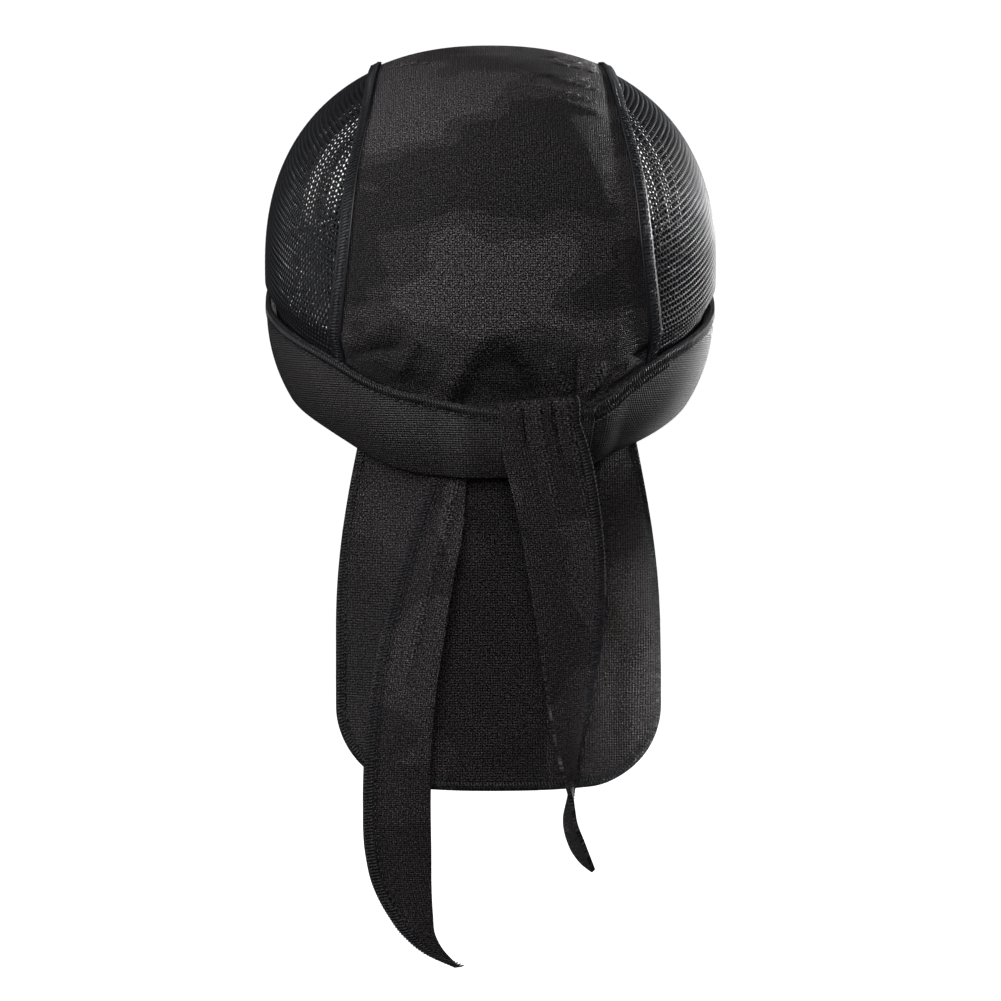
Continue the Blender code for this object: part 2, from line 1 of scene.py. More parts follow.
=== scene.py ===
# Looks of a tied durag with mesh sides, seen from behind.
# Metres, +Z up, the wearer faces +Y, the knot and the flap hang at -Y. The origin is the crown's inner top.
import json
import math
import bpy
import numpy as np
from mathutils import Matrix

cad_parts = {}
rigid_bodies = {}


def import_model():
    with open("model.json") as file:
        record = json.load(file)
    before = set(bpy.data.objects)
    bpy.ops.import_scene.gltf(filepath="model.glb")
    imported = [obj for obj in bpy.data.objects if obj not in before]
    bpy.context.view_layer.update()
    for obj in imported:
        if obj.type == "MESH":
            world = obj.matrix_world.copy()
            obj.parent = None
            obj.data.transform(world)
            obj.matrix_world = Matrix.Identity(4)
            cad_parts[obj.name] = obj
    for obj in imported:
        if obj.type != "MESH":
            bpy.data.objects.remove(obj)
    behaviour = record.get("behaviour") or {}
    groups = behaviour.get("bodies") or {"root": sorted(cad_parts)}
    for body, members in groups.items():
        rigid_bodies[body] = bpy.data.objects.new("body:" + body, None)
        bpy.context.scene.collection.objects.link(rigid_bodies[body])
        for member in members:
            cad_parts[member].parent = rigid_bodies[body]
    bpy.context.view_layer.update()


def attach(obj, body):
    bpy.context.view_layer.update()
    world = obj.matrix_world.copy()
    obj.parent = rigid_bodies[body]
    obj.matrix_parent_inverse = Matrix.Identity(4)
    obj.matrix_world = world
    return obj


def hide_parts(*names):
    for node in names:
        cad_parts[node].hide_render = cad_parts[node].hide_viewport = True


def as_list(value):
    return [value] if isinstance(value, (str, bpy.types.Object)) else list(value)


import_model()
scene = bpy.context.scene
print("frame loaded")

# The rounded form that the cloth keeps: half axes of a superellipsoid and its power. Heights are measured
# from its widest level, and unrolled is the radius that turns an angle over it into a length of cloth
form = {
    "halfWidth": 0.0836, "back": 0.0975, "front": 0.0950, "up": 0.0805,
    "downSide": 0.0890, "downNape": 0.1150, "power": 2.28, "poleShare": 0.99995,
    "unrolled": 0.0900, "halvings": 30,
}

# Half widths of the crown over the head, by the angle from straight up towards the back
seamLine = {
    "halfWidth": 0.0540,
    "angle": (-120, -90, -60, -20, 0, 23, 50, 67, 88, 105, 130),
    "width": (0.96, 0.92, 0.87, 0.79, 0.77, 0.785, 0.845, 0.925, 0.99, 1.04, 1.10),
    "endNear": 50, "endFar": 150,  # angles between which the crown meets the band
}

# The band's middle line and height by the turn from the nape
bandLine = {
    "napeDepth": 0.0600, "frontRise": 0.0130, "full": 0.0330,
    "turn": (-180, -172, -150, -120, -90, -70, -50, -38, -26, -12, 0, 12, 20, 30, 40, 54, 70, 90, 120,
             150, 172, 180),
    "depth": (0, 0.005, 0.10, 0.28, 0.47, 0.57, 0.695, 0.80, 0.92, 0.99, 1.02, 1.01, 1, 0.88, 0.78, 0.68,
              0.58, 0.47, 0.28, 0.10, 0.005, 0),
    "rise": (1, 0.98, 0.58, 0.08, 0, 0, 0, 0, 0, 0, 0, 0, 0, 0, 0, 0, 0, 0, 0.08, 0.58, 0.98, 1),
    "height": (1, 1, 1, 1, 1, 0.98, 0.96, 0.96, 0.90, 0.82, 0.73, 0.67, 0.66, 0.77, 0.92, 0.96,
               0.98, 1, 1, 1, 1, 1),
    "pinch": 0.0034, "pinchRise": 0.0110, "sideRise": 0.0080,
}


def column(table, key, name, at):
    # smooth value between a table's rows: cubic pieces with slopes from the neighbours
    places = np.asarray(table[key], float)
    values = np.asarray(table[name], float)
    slopes = np.gradient(values, places)
    at = np.clip(np.asarray(at, float), places[0], places[-1])
    row = np.clip(np.searchsorted(places, at, side="right") - 1, 0, len(places) - 2)
    span = places[row + 1] - places[row]
    s = (at - places[row]) / span
    return ((1 + 2 * s) * (1 - s) ** 2 * values[row] + s * (1 - s) ** 2 * span * slopes[row]
            + s * s * (3 - 2 * s) * values[row + 1] + s * s * (s - 1) * span * slopes[row + 1])


def rowsOf(table):
    # a table of columns as one dictionary for each row
    return [dict(zip(table, values)) for values in zip(*table.values())]


def eased(share):
    # smooth step from 0 to 1: three times the square less twice the cube
    share = np.clip(share, 0.0, 1.0)
    return share * share * (3 - 2 * share)


def bandMiddle(turn):
    # height of the band's middle line: its rise in front less its depth behind
    degrees = (np.degrees(turn) + 180.0) % 360.0 - 180.0
    return (column(bandLine, "turn", "rise", degrees) * bandLine["frontRise"]
            - column(bandLine, "turn", "depth", degrees) * bandLine["napeDepth"])


def bandHalf(turn):
    # half the band's height at a turn from the nape
    degrees = (np.degrees(turn) + 180.0) % 360.0 - 180.0
    return column(bandLine, "turn", "height", degrees) * bandLine["full"] / 2


def bandTop(turn):
    return bandMiddle(turn) + bandHalf(turn)


def level(height, lift, nape):
    # share of the widest section left at a height: a superellipse of the head's power
    down = form["downNape"] if nape else form["downSide"]
    reach = np.where(height > 0, form["up"], down) + lift
    rest = 1 - np.clip(np.abs(height) / reach, 0.0, form["poleShare"]) ** form["power"]
    return rest ** (1 / form["power"])


def pinched(turn, height):
    # the tight band draws the cloth in from a little above its top edge downwards
    rise = bandLine["sideRise"] + (bandLine["pinchRise"] - bandLine["sideRise"]) * eased(np.abs(np.cos(turn)))
    return bandLine["pinch"] * eased((bandTop(turn) + rise - height) / rise)


def planRadius(turn, height, lift):
    # radius of a superellipse in plan, whose two half axes shrink with the height
    drawn = lift - pinched(turn, height)
    side = (form["halfWidth"] + drawn) * level(height, lift, False)
    rear = np.cos(turn) > 0
    depth = np.where(rear, form["back"], form["front"]) + drawn
    depth = depth * np.where(rear, level(height, lift, True), level(height, lift, False))
    power = form["power"]
    return ((np.abs(np.sin(turn)) / side) ** power + (np.abs(np.cos(turn)) / depth) ** power) ** (-1 / power)


def place(turn, height, lift):
    # points at a turn and a height, where the plan's radius gives how far out they lie
    turn, height, lift = np.broadcast_arrays(turn, height, lift)
    radius = planRadius(turn, height, lift)
    return np.stack([radius * np.sin(turn), -radius * np.cos(turn), height - form["up"]], axis=-1)


def alongRay(direction, lift):
    # turn and height where a ray from the form's middle meets the cloth, found by halving
    direction = direction / np.linalg.norm(direction, axis=-1, keepdims=True)
    turn = np.arctan2(direction[..., 0], -direction[..., 1])
    across = np.hypot(direction[..., 0], direction[..., 1])
    near = np.zeros(turn.shape)
    far = np.full(turn.shape, 2 * form["back"])
    for step in range(form["halvings"]):
        middle = (near + far) / 2
        height = middle * direction[..., 2]
        top = form["up"] + lift
        inside = (height < top) & (middle * across < planRadius(turn, np.minimum(height, top), lift))
        near = np.where(inside, middle, near)
        far = np.where(inside, far, middle)
    return turn, near * direction[..., 2]


def crownDirection(share, angle):
    # point of the plain form at a share of the crown's half width and an angle over the top
    power = form["power"]
    half = share * column(seamLine, "angle", "width", np.degrees(angle)) * seamLine["halfWidth"]
    rest = (1 - (np.abs(half) / form["halfWidth"]) ** power) ** (1 / power)
    depth = np.where(angle > 0, form["back"], form["front"])
    down = np.where(angle > 0, form["downNape"], form["downSide"])
    tall = np.where(np.cos(angle) > 0, form["up"], down)
    total = (np.abs(np.sin(angle)) / depth) ** power + (np.abs(np.cos(angle)) / tall) ** power
    total = total ** (-1 / power)
    return np.stack([half, -rest * total * np.sin(angle), rest * total * np.cos(angle)], axis=-1)


def crownEnd(share, back, tuck):
    # angle over the top at which the crown is a tuck below the band's top, found by halving
    sign = 1.0 if back else -1.0
    near = np.full(np.shape(share), math.radians(seamLine["endNear"]))
    far = np.full(np.shape(share), math.radians(seamLine["endFar"]))
    for step in range(form["halvings"]):
        middle = (near + far) / 2
        turn, height = alongRay(crownDirection(share, sign * middle), 0.0)
        above = height > bandTop(turn) - tuck
        near = np.where(above, middle, near)
        far = np.where(above, far, middle)
    return sign * near


def gridFaces(rows, columns):
    # four corners of each square of a grid, numbered row by row
    index = np.arange(rows * columns).reshape(rows, columns)
    return np.stack([index[:-1, :-1], index[:-1, 1:], index[1:, 1:], index[1:, :-1]], axis=-1).reshape(-1, 4)


def meshPiece(name, points, faces, uv, material, wall=0.0):
    # a quad mesh from arrays, with its pattern in metres in the UV map, and a wall if asked
    mesh = bpy.data.meshes.new(name)
    mesh.vertices.add(len(points))
    mesh.vertices.foreach_set("co", np.asarray(points, np.float32).ravel())
    mesh.loops.add(len(faces) * 4)
    mesh.loops.foreach_set("vertex_index", np.asarray(faces, np.int32).ravel())
    mesh.polygons.add(len(faces))
    mesh.polygons.foreach_set("loop_start", np.arange(0, len(faces) * 4, 4, dtype=np.int32))
    mesh.update(calc_edges=True)
    mesh.validate()
    mesh.shade_smooth()
    if uv is not None:
        layer = mesh.uv_layers.new(name="cloth")
        layer.uv.foreach_set("vector", np.asarray(uv, np.float32)[np.asarray(faces).ravel()].ravel())
    mesh.materials.append(material)
    piece = bpy.data.objects.new(name, mesh)
    scene.collection.objects.link(piece)
    if wall:
        solidify = piece.modifiers.new("wall", "SOLIDIFY")
        solidify.thickness = wall
        solidify.offset = 1.0
        solidify.use_even_offset = False
    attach(piece, "root")
    return piece


def clothPiece(name, points, uv, material, wall):
    # a sheet from a grid of points
    rows, columns = points.shape[:2]
    return meshPiece(name, points.reshape(-1, 3), gridFaces(rows, columns), uv.reshape(-1, 2), material, wall)


def unit(vectors):
    # vectors over their own lengths
    return vectors / np.maximum(np.linalg.norm(vectors, axis=-1, keepdims=True), 1e-12)


def evenSteps(line, pitch):
    # places along a line at even steps of its length: row number of each step, as a fraction
    run = np.concatenate([[0], np.cumsum(np.linalg.norm(np.diff(line, axis=0), axis=1))])
    count = max(int(run[-1] / pitch), 2)
    return np.interp((np.arange(count) + 0.5) * run[-1] / count, run, np.arange(len(line)))


def sampled(values, at):
    # rows of a table at broken row numbers, straight between neighbours
    low = np.clip(np.floor(at).astype(int), 0, len(values) - 2)
    share = (at - low)[:, None]
    return values[low] * (1 - share) + values[low + 1] * share


def stitchRow(name, line, side, out, thread, material):
    # one short thread for each stitch: a path of offsets across, ahead and out, swept with four sides
    at = evenSteps(line, thread["pitch"])
    centre = sampled(line, at)
    sideWay = unit(sampled(side, at))
    outWay = unit(sampled(out, at))
    ahead = unit(np.cross(outWay, sideWay))
    path = np.asarray(thread["path"], float)
    spots = (centre[:, None] + sideWay[:, None] * path[None, :, 0:1] + ahead[:, None] * path[None, :, 1:2]
             + outWay[:, None] * path[None, :, 2:3])
    tangent = unit(np.gradient(spots, axis=1))
    flat = unit(np.cross(tangent, np.broadcast_to(outWay[:, None], tangent.shape)))
    up = np.cross(flat, tangent)
    taper = np.asarray(thread["taper"], float)[None, :, None, None] * thread["radius"]
    corner = np.arange(4) * math.pi / 2 + math.pi / 4
    ring = (np.cos(corner)[None, None, :, None] * flat[:, :, None]
            + np.sin(corner)[None, None, :, None] * up[:, :, None])
    points = spots[:, :, None] + ring * taper
    count, steps = points.shape[:2]
    index = np.arange(count * steps * 4).reshape(count, steps, 4)
    turned = np.roll(index, -1, axis=2)
    walls = np.stack([index[:, :-1], index[:, 1:], turned[:, 1:], turned[:, :-1]], axis=-1).reshape(-1, 4)
    faces = np.concatenate([walls, index[:, 0], index[:, -1][:, ::-1]])
    return meshPiece(name, points.reshape(-1, 3), faces, None, material)


# Over: a slanted thread over the edge; needle: short stitches in line. A path is given in shares of the
# row's width, the stitch's length and its rise
threads = {
    "over": {"pitch": 0.00115, "rise": 0.00022, "radius": 0.00034, "taper": (0.6, 1, 1, 0.6),
             "path": ((-0.5, -0.25, -0.9), (-0.30, -0.15, 1), (0.30, 0.15, 1), (0.5, 0.25, -0.9))},
    "needle": {"pitch": 0.0024, "rise": 0.00022, "length": 0.86, "radius": 0.00024, "taper": (0.6, 1, 1, 0.6),
               "path": ((0, -0.5, -0.3), (0, -0.2, 1), (0, 0.2, 1), (0, 0.5, -0.3))},
}


def overlock(name, line, side, out, width, slant=0.0008):
    # slanted threads side by side over the whole width
    over = threads["over"]
    path = np.array(over["path"]) * np.array([width, 2 * slant, over["rise"]])
    return stitchRow(name, line, side, out, dict(over, path=path), seamThread)


def needleRow(name, line, side, out, material, pitch=threads["needle"]["pitch"]):
    # short stitches one behind the other
    needle = threads["needle"]
    path = np.array(needle["path"]) * np.array([1, pitch * needle["length"], needle["rise"]])
    return stitchRow(name, line, side, out, dict(needle, pitch=pitch, path=path), material)


def edgeOf(points, at, wall, inset):
    # line at a column of a grid, with the way across it (away from the edge) and the way out of it
    out = unit(np.cross(np.gradient(points, axis=1), np.gradient(points, axis=0)))
    flip = 1.0 if np.mean(out[..., 1] * points[..., 1]) > 0 else -1.0
    out = out * flip
    across = unit(np.gradient(points, axis=1))[:, at]
    if at == 0:
        across = -across
    line = points[:, at] + out[:, at] * wall - across * inset
    return line, across, out[:, at]


print("materials")


def fill(node, **values):
    # a node's sockets set by their names, with _ for each space
    for name, value in values.items():
        node.inputs[name.replace("_", " ")].default_value = value


def nodeSet(name):
    # a new material, with short ways to add a node and a sum to it
    material = bpy.data.materials.new(name)
    material.use_nodes = True
    nodes = material.node_tree.nodes
    links = material.node_tree.links

    def add(kind, **values):
        node = nodes.new(kind)
        for key, value in values.items():
            setattr(node, key, value)
        return node

    def worked(operation, a, b=None, c=None):
        node = add("ShaderNodeMath", operation=operation)
        for socket, value in zip(node.inputs, (a, b, c)):
            if value is None:
                continue
            if hasattr(value, "is_output"):
                links.new(value, socket)
            else:
                socket.default_value = value
        return node.outputs[0]

    return material, nodes["Principled BSDF"], add, worked, links


def finish(look, tone, height, shader, add, links):
    # the look's colour times a tone, bump from a height, and the plain values on the shader's own sockets
    colour = add("ShaderNodeMixRGB", blend_type="MULTIPLY")
    fill(colour, Fac=1.0, Color1=(*look["colour"], 1))
    links.new(tone, colour.inputs["Color2"])
    links.new(colour.outputs[0], shader.inputs["Base Color"])
    bump = add("ShaderNodeBump")
    fill(bump, Strength=look["bump"], Distance=look["bumpDepth"])
    links.new(height, bump.inputs["Height"])
    links.new(bump.outputs[0], shader.inputs["Normal"])
    fill(shader, Specular_IOR_Level=look["specular"], Sheen_Weight=look["sheen"],
         Sheen_Roughness=look["sheenRough"])


def knit(name, look):
    # stretch knit: staggered dots from two crossed sine waves, with soft generic blots two tones apart; the
    # dots and the grain lighten and darken the base colour, partly as the knit's own texture and partly as
    # painted glints of its loops
    material, shader, add, worked, links = nodeSet(name)
    uv = add("ShaderNodeUVMap", uv_map="cloth")
    waves = []
    for sign in (1, -1):
        turned = add("ShaderNodeVectorMath", operation="DOT_PRODUCT")
        links.new(uv.outputs[0], turned.inputs[0])
        turned.inputs[1].default_value = (
            2 * math.pi / look["pitchAcross"], sign * 2 * math.pi / look["pitchAlong"], 0)
        waves.append(worked("SINE", turned.outputs["Value"]))
    dots = worked("MULTIPLY", waves[0], waves[1])
    dots = worked("MULTIPLY_ADD", dots, 0.5, 0.5)
    blot = add("ShaderNodeTexNoise")
    mapping = add("ShaderNodeMapping")
    fill(mapping, Scale=look["blotScale"], Location=look["blotShift"])
    links.new(uv.outputs[0], mapping.inputs["Vector"])
    links.new(mapping.outputs[0], blot.inputs["Vector"])
    fill(blot, Scale=1.0, Detail=look["blotDetail"], Roughness=look["blotBreak"])
    ramp = add("ShaderNodeValToRGB")
    ramp.color_ramp.interpolation = "EASE"
    stops = look["blotStops"]
    ramp.color_ramp.elements[0].position = stops[0][0]
    ramp.color_ramp.elements[0].color = (stops[0][1],) * 3 + (1,)
    ramp.color_ramp.elements[1].position = stops[-1][0]
    ramp.color_ramp.elements[1].color = (stops[-1][1],) * 3 + (1,)
    for position, tone in stops[1:-1]:
        stop = ramp.color_ramp.elements.new(position)
        stop.color = (tone, tone, tone, 1)
    links.new(blot.outputs["Fac"], ramp.inputs["Fac"])
    grain = add("ShaderNodeTexNoise")
    links.new(uv.outputs[0], grain.inputs["Vector"])
    fill(grain, Scale=look["grainScale"], Detail=look["grainDetail"])
    # painted glints: the dot and grain tones below stand partly for the knit's own texture, partly for light
    # caught by its loops, painted into the base colour
    tone = worked("MULTIPLY_ADD", dots, look["dotAndGlintTone"], 1 - look["dotAndGlintTone"] / 2)
    tone = worked("MULTIPLY", tone, ramp.outputs["Color"])
    grainAndGlints = worked("MULTIPLY_ADD", grain.outputs["Fac"], look["grainTone"], 1 - look["grainTone"] / 2)
    tone = worked("MULTIPLY", tone, grainAndGlints)
    span = look["roughSpan"]
    rough = worked("MULTIPLY_ADD", grain.outputs["Fac"], span, look["roughness"] - span / 2)
    links.new(rough, shader.inputs["Roughness"])
    height = worked("MULTIPLY_ADD", grain.outputs["Fac"], look["grainRise"], dots)
    finish(look, tone, height, shader, add, links)
    fill(shader, Sheen_Tint=(*look["sheenTint"], 1))
    return material


def yarn(name, look):
    # plain twisted yarn: a fine ripple along it and a little tone from place to place
    material, shader, add, worked, links = nodeSet(name)
    spot = add("ShaderNodeTexCoord")
    grain = add("ShaderNodeTexNoise")
    links.new(spot.outputs["Object"], grain.inputs["Vector"])
    fill(grain, Scale=look["grainScale"], Detail=look["grainDetail"])
    tone = worked("MULTIPLY_ADD", grain.outputs["Fac"], look["grainTone"], 1 - look["grainTone"] / 2)
    finish(look, tone, grain.outputs["Fac"], shader, add, links)
    fill(shader, Roughness=look["roughness"])
    return material


# Pitches of the knit's dots in metres; blots by their scale, place and tones between the noise's values. The
# knit's dot and grain tones in the base colour are partly its own texture, partly painted glints of its loops
crownLook = {
    "colour": (0.0220, 0.0202, 0.0214), "pitchAcross": 0.0017, "pitchAlong": 0.0015, "dotAndGlintTone": 1.5,
    "blotScale": (15, 26, 1), "blotShift": (3.1, 1.7, 0), "blotDetail": 2.5, "blotBreak": 0.45,
    "blotStops": ((0.4665, 1.60), (0.4695, 1.0), (0.543, 0.95), (0.546, 0.55)),
    "grainScale": 2000, "grainTone": 17.0, "grainDetail": 1.0, "grainRise": 0.5,
    "roughness": 0.50, "roughSpan": 0.16, "bump": 0.8, "bumpDepth": 0.00045,
    "specular": 0.13, "sheen": 0.01, "sheenRough": 0.45, "sheenTint": (0.95, 0.9, 0.9),
}
bandLook = dict(crownLook, colour=(0.0128, 0.0112, 0.0112), pitchAcross=0.0020, pitchAlong=0.0016,
                dotAndGlintTone=1.8, blotScale=(10, 16, 1), blotShift=(0.4, 5.2, 0), specular=0.32,
                blotStops=((0.35, 0.9), (0.45, 1.0), (0.55, 1.0), (0.6, 1.15)))
flapLook = dict(crownLook, colour=(0.0125, 0.0110, 0.0116), pitchAcross=0.0018, pitchAlong=0.0018,
                dotAndGlintTone=1.6, blotScale=(16, 16, 1), blotShift=(7.3, 2.2, 0), roughness=0.31, specular=0.14,
                blotStops=((0.42, 0.75), (0.46, 1.0), (0.55, 1.0), (0.58, 1.35)))
tieLook = dict(crownLook, colour=(0.0145, 0.0128, 0.0136), blotScale=(18, 26, 1), blotShift=(5.3, 9.1, 0),
               blotStops=((0.42, 0.7), (0.425, 1.0), (0.545, 1.0), (0.55, 1.6)), dotAndGlintTone=1.6, specular=0.12)
threadLook = {"colour": (0.0055, 0.0057, 0.0080), "grainScale": 900, "grainTone": 1.5, "grainDetail": 2.0,
              "bump": 0.3, "bumpDepth": 0.0002, "roughness": 0.38, "specular": 0.38, "sheen": 0.0,
              "sheenRough": 0.4}
meshLook = dict(threadLook, colour=(0.0080, 0.0080, 0.0100), grainScale=1500, grainTone=1.2, bump=0.4,
                roughness=0.42, specular=0.13)

crownCloth = knit("crown knit", crownLook)
bandCloth = knit("band knit", bandLook)
flapCloth = knit("flap knit", flapLook)
tieCloth = knit("tie knit", tieLook)
seamThread = yarn("seam thread", threadLook)
paleThread = yarn("pale thread", dict(threadLook, colour=(0.075, 0.072, 0.072)))
meshYarn = yarn("air mesh yarn", meshLook)

print("crown")
crown = {
    "rows": 250, "columns": 170, "wall": 0.0012, "tuck": 0.0090, "edgeGap": 0.0006,
    "foldUnit": 0.0110, "foldFade": 0.007, "rowEase": 0.35,
}
ridgeEnds = {"fade": 0.35, "overrun": 1.25}  # in shares of a ridge's length

# Folds of the crown: from and to (turn in degrees, height as a share of the nape's drop), half width and
# rise as shares of foldUnit. Negative rises are valleys
crownFolds = {
    "turnFrom": (10.4, -34.5, -34.5, -40, -35, -22.5, -36, 29, 27, 21, 17.4, 33.5, 12.5, -4),
    "heightFrom": (-0.255, -0.125, -0.268, -0.295, -0.318, -0.350, -0.225, -0.280, -0.340, -0.400, -0.390,
                   -0.245, -0.20, -0.30),
    "turnTo": (16.8, -20, -21, -27, -25, -17, -23, 36, 37, 22.6, 17.2, 25, 16.2, -12),
    "heightTo": (-0.400, -0.092, -0.240, -0.375, -0.345, -0.225, -0.185, -0.245, -0.312, -0.300, -0.275,
                 -0.385, -0.37, -0.42),
    "halfWidth": (0.13, 0.17, 0.20, 0.22, 0.20, 0.24, 0.28, 0.18, 0.18, 0.17, 0.14, 0.20, 0.34, 0.40),
    "rise": (0.20, -0.07, -0.14, -0.16, 0.12, 0.12, 0.10, -0.20, 0.16, 0.15, -0.12, 0.15, 0.14, 0.08),
}
# The pocket of sunk cloth over the knot: an arch by its turn, top, roundness and fall, and its depth
pocket = {"turn": 0.9, "top": 0.176, "round": 7.0, "fall": 0.030, "soft": 0.0140, "reach": 21.0,
          "depth": 0.0065}

# Fine wrinkles, each by two places on the cloth (metres across and along from the crown's top), half
# width and rise in metres
wrinkles = {
    "acrossFrom": (-0.042, -0.043, -0.042, 0.042, 0.042, 0.042, 0.043, 0.044, 0.041),
    "alongFrom": (0.0345, 0.0580, 0.0655, 0.0560, 0.0745, 0.0460, 0.0820, 0.0660, 0.0360),
    "acrossTo": (-0.022, -0.030, -0.026, 0.010, 0.012, 0.023, 0.020, 0.024, 0.020),
    "alongTo": (0.0470, 0.0605, 0.0700, 0.0640, 0.0720, 0.0470, 0.0770, 0.0640, 0.0400),
    "halfWidth": (0.0010, 0.0010, 0.0010, 0.0011, 0.0010, 0.0010, 0.0011, 0.0009, 0.0012),
    "rise": (0.0010, 0.0008, 0.0007, 0.0008, 0.0010, 0.0010, 0.0010, 0.0007, 0.0008),
}


def ridge(x, y, x0, y0, x1, y1, half):
    # a ridge along a straight line: e to the less square of aside over half, faded at both ends
    runX, runY = x1 - x0, y1 - y0
    reach = math.hypot(runX, runY)
    share = ((x - x0) * runX + (y - y0) * runY) / reach ** 2
    aside = ((x - x0) * runY - (y - y0) * runX) / reach
    bell = np.exp(-(aside / half) ** 2) * eased(share / ridgeEnds["fade"])
    return bell * eased((ridgeEnds["overrun"] - share) / ridgeEnds["fade"])


def crownRise(turn, height, across, along):
    # the folds summed, less the pocket, plus the wrinkles
    rise = np.zeros(turn.shape)
    drop = form["downNape"]
    reach = form["back"]
    for fold in rowsOf(crownFolds):
        rise = rise + fold["rise"] * crown["foldUnit"] * ridge(
            turn * reach, height, math.radians(fold["turnFrom"]) * reach, fold["heightFrom"] * drop,
            math.radians(fold["turnTo"]) * reach, fold["heightTo"] * drop,
            fold["halfWidth"] * crown["foldUnit"])
    rise = np.where(rise > 0, rise * eased((height - bandTop(turn)) / crown["foldFade"]), rise)
    aside = np.degrees(turn) - pocket["turn"]
    arch = pocket["top"] + pocket["fall"] * (np.hypot(aside, pocket["round"]) - pocket["round"])
    sunk = eased((-arch * drop - height) / pocket["soft"]) * np.exp(-(aside / pocket["reach"]) ** 4)
    rise = rise - pocket["depth"] * sunk * eased((height - bandTop(turn) + crown["tuck"]) / crown["tuck"])
    for fold in rowsOf(wrinkles):
        rise = rise + fold["rise"] * ridge(across, along, fold["acrossFrom"], fold["alongFrom"],
                                           fold["acrossTo"], fold["alongTo"], fold["halfWidth"])
    return rise


share = np.linspace(-1, 1, crown["columns"] + 1) * (1 - crown["edgeGap"] / seamLine["halfWidth"])
frontEnd = crownEnd(share, False, crown["tuck"])
backEnd = crownEnd(share, True, crown["tuck"])
row = np.linspace(0, 1, crown["rows"] + 1)[:, None]
row = row - crown["rowEase"] * np.sin(2 * np.pi * row) / (2 * np.pi)
angle = backEnd + (frontEnd - backEnd) * row
shares = np.broadcast_to(share, angle.shape)
flatWay = crownDirection(shares, angle)
turn, height = alongRay(flatWay, 0.0)
across = form["halfWidth"] * np.arcsin(np.clip(flatWay[..., 0] / form["halfWidth"], -1, 1))
along = form["unrolled"] * angle
crownPoints = place(turn, height, crownRise(turn, height, across, along))
uv = np.stack([across, along], axis=-1)
crownPanel = clothPiece("crownPanel", crownPoints, uv, crownCloth, crown["wall"])
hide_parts("crown_panel")

print("mesh sides")
# Rows of staggered holes: pitch between rows, pitch along a row, the hole's half sizes and the ribs' rise.
# Near the band the holes are pulled narrow
net = {
    "rowPitch": 0.00225, "holePitch": 0.00178, "holeAlong": 0.00064, "holeAcross": 0.00079,
    "ribRise": 0.00040, "rowRib": 0.25, "wall": 0.00052, "turned": 22.0, "tuck": 0.0045, "reach": 0.185,
    "narrow": 0.45, "narrowRise": 0.024,
}


def netOnForm(flat, side):
    # azimuthal map round the side's pole: distance is the polar angle, direction the way round the pole
    reach = np.hypot(flat[..., 0], flat[..., 1])
    polar = reach / form["unrolled"]
    way = np.arctan2(flat[..., 1], flat[..., 0])
    ring = np.sin(polar)
    return np.stack([side * np.cos(polar), ring * np.cos(way), ring * np.sin(way)], axis=-1)


def seamSpan(angle):
    # an angle kept within the seam line's table
    return np.clip(angle, math.radians(seamLine["angle"][0]), math.radians(seamLine["angle"][-1]))


def seamShare(direction):
    # share of the crown's half width at a direction, and its angle over the top
    power = form["power"]
    depth = np.where(direction[..., 1] < 0, form["back"], form["front"])
    down = np.where(direction[..., 1] < 0, form["downNape"], form["downSide"])
    tall = np.where(direction[..., 2] > 0, form["up"], down)
    size = ((np.abs(direction[..., 0]) / form["halfWidth"]) ** power
            + (np.abs(direction[..., 1]) / depth) ** power
            + (np.abs(direction[..., 2]) / tall) ** power) ** (1 / power)
    angle = np.arctan2(-direction[..., 1], direction[..., 2])
    half = np.abs(direction[..., 0]) / size
    limit = column(seamLine, "angle", "width", np.degrees(seamSpan(angle)))
    return half / (limit * seamLine["halfWidth"]), angle


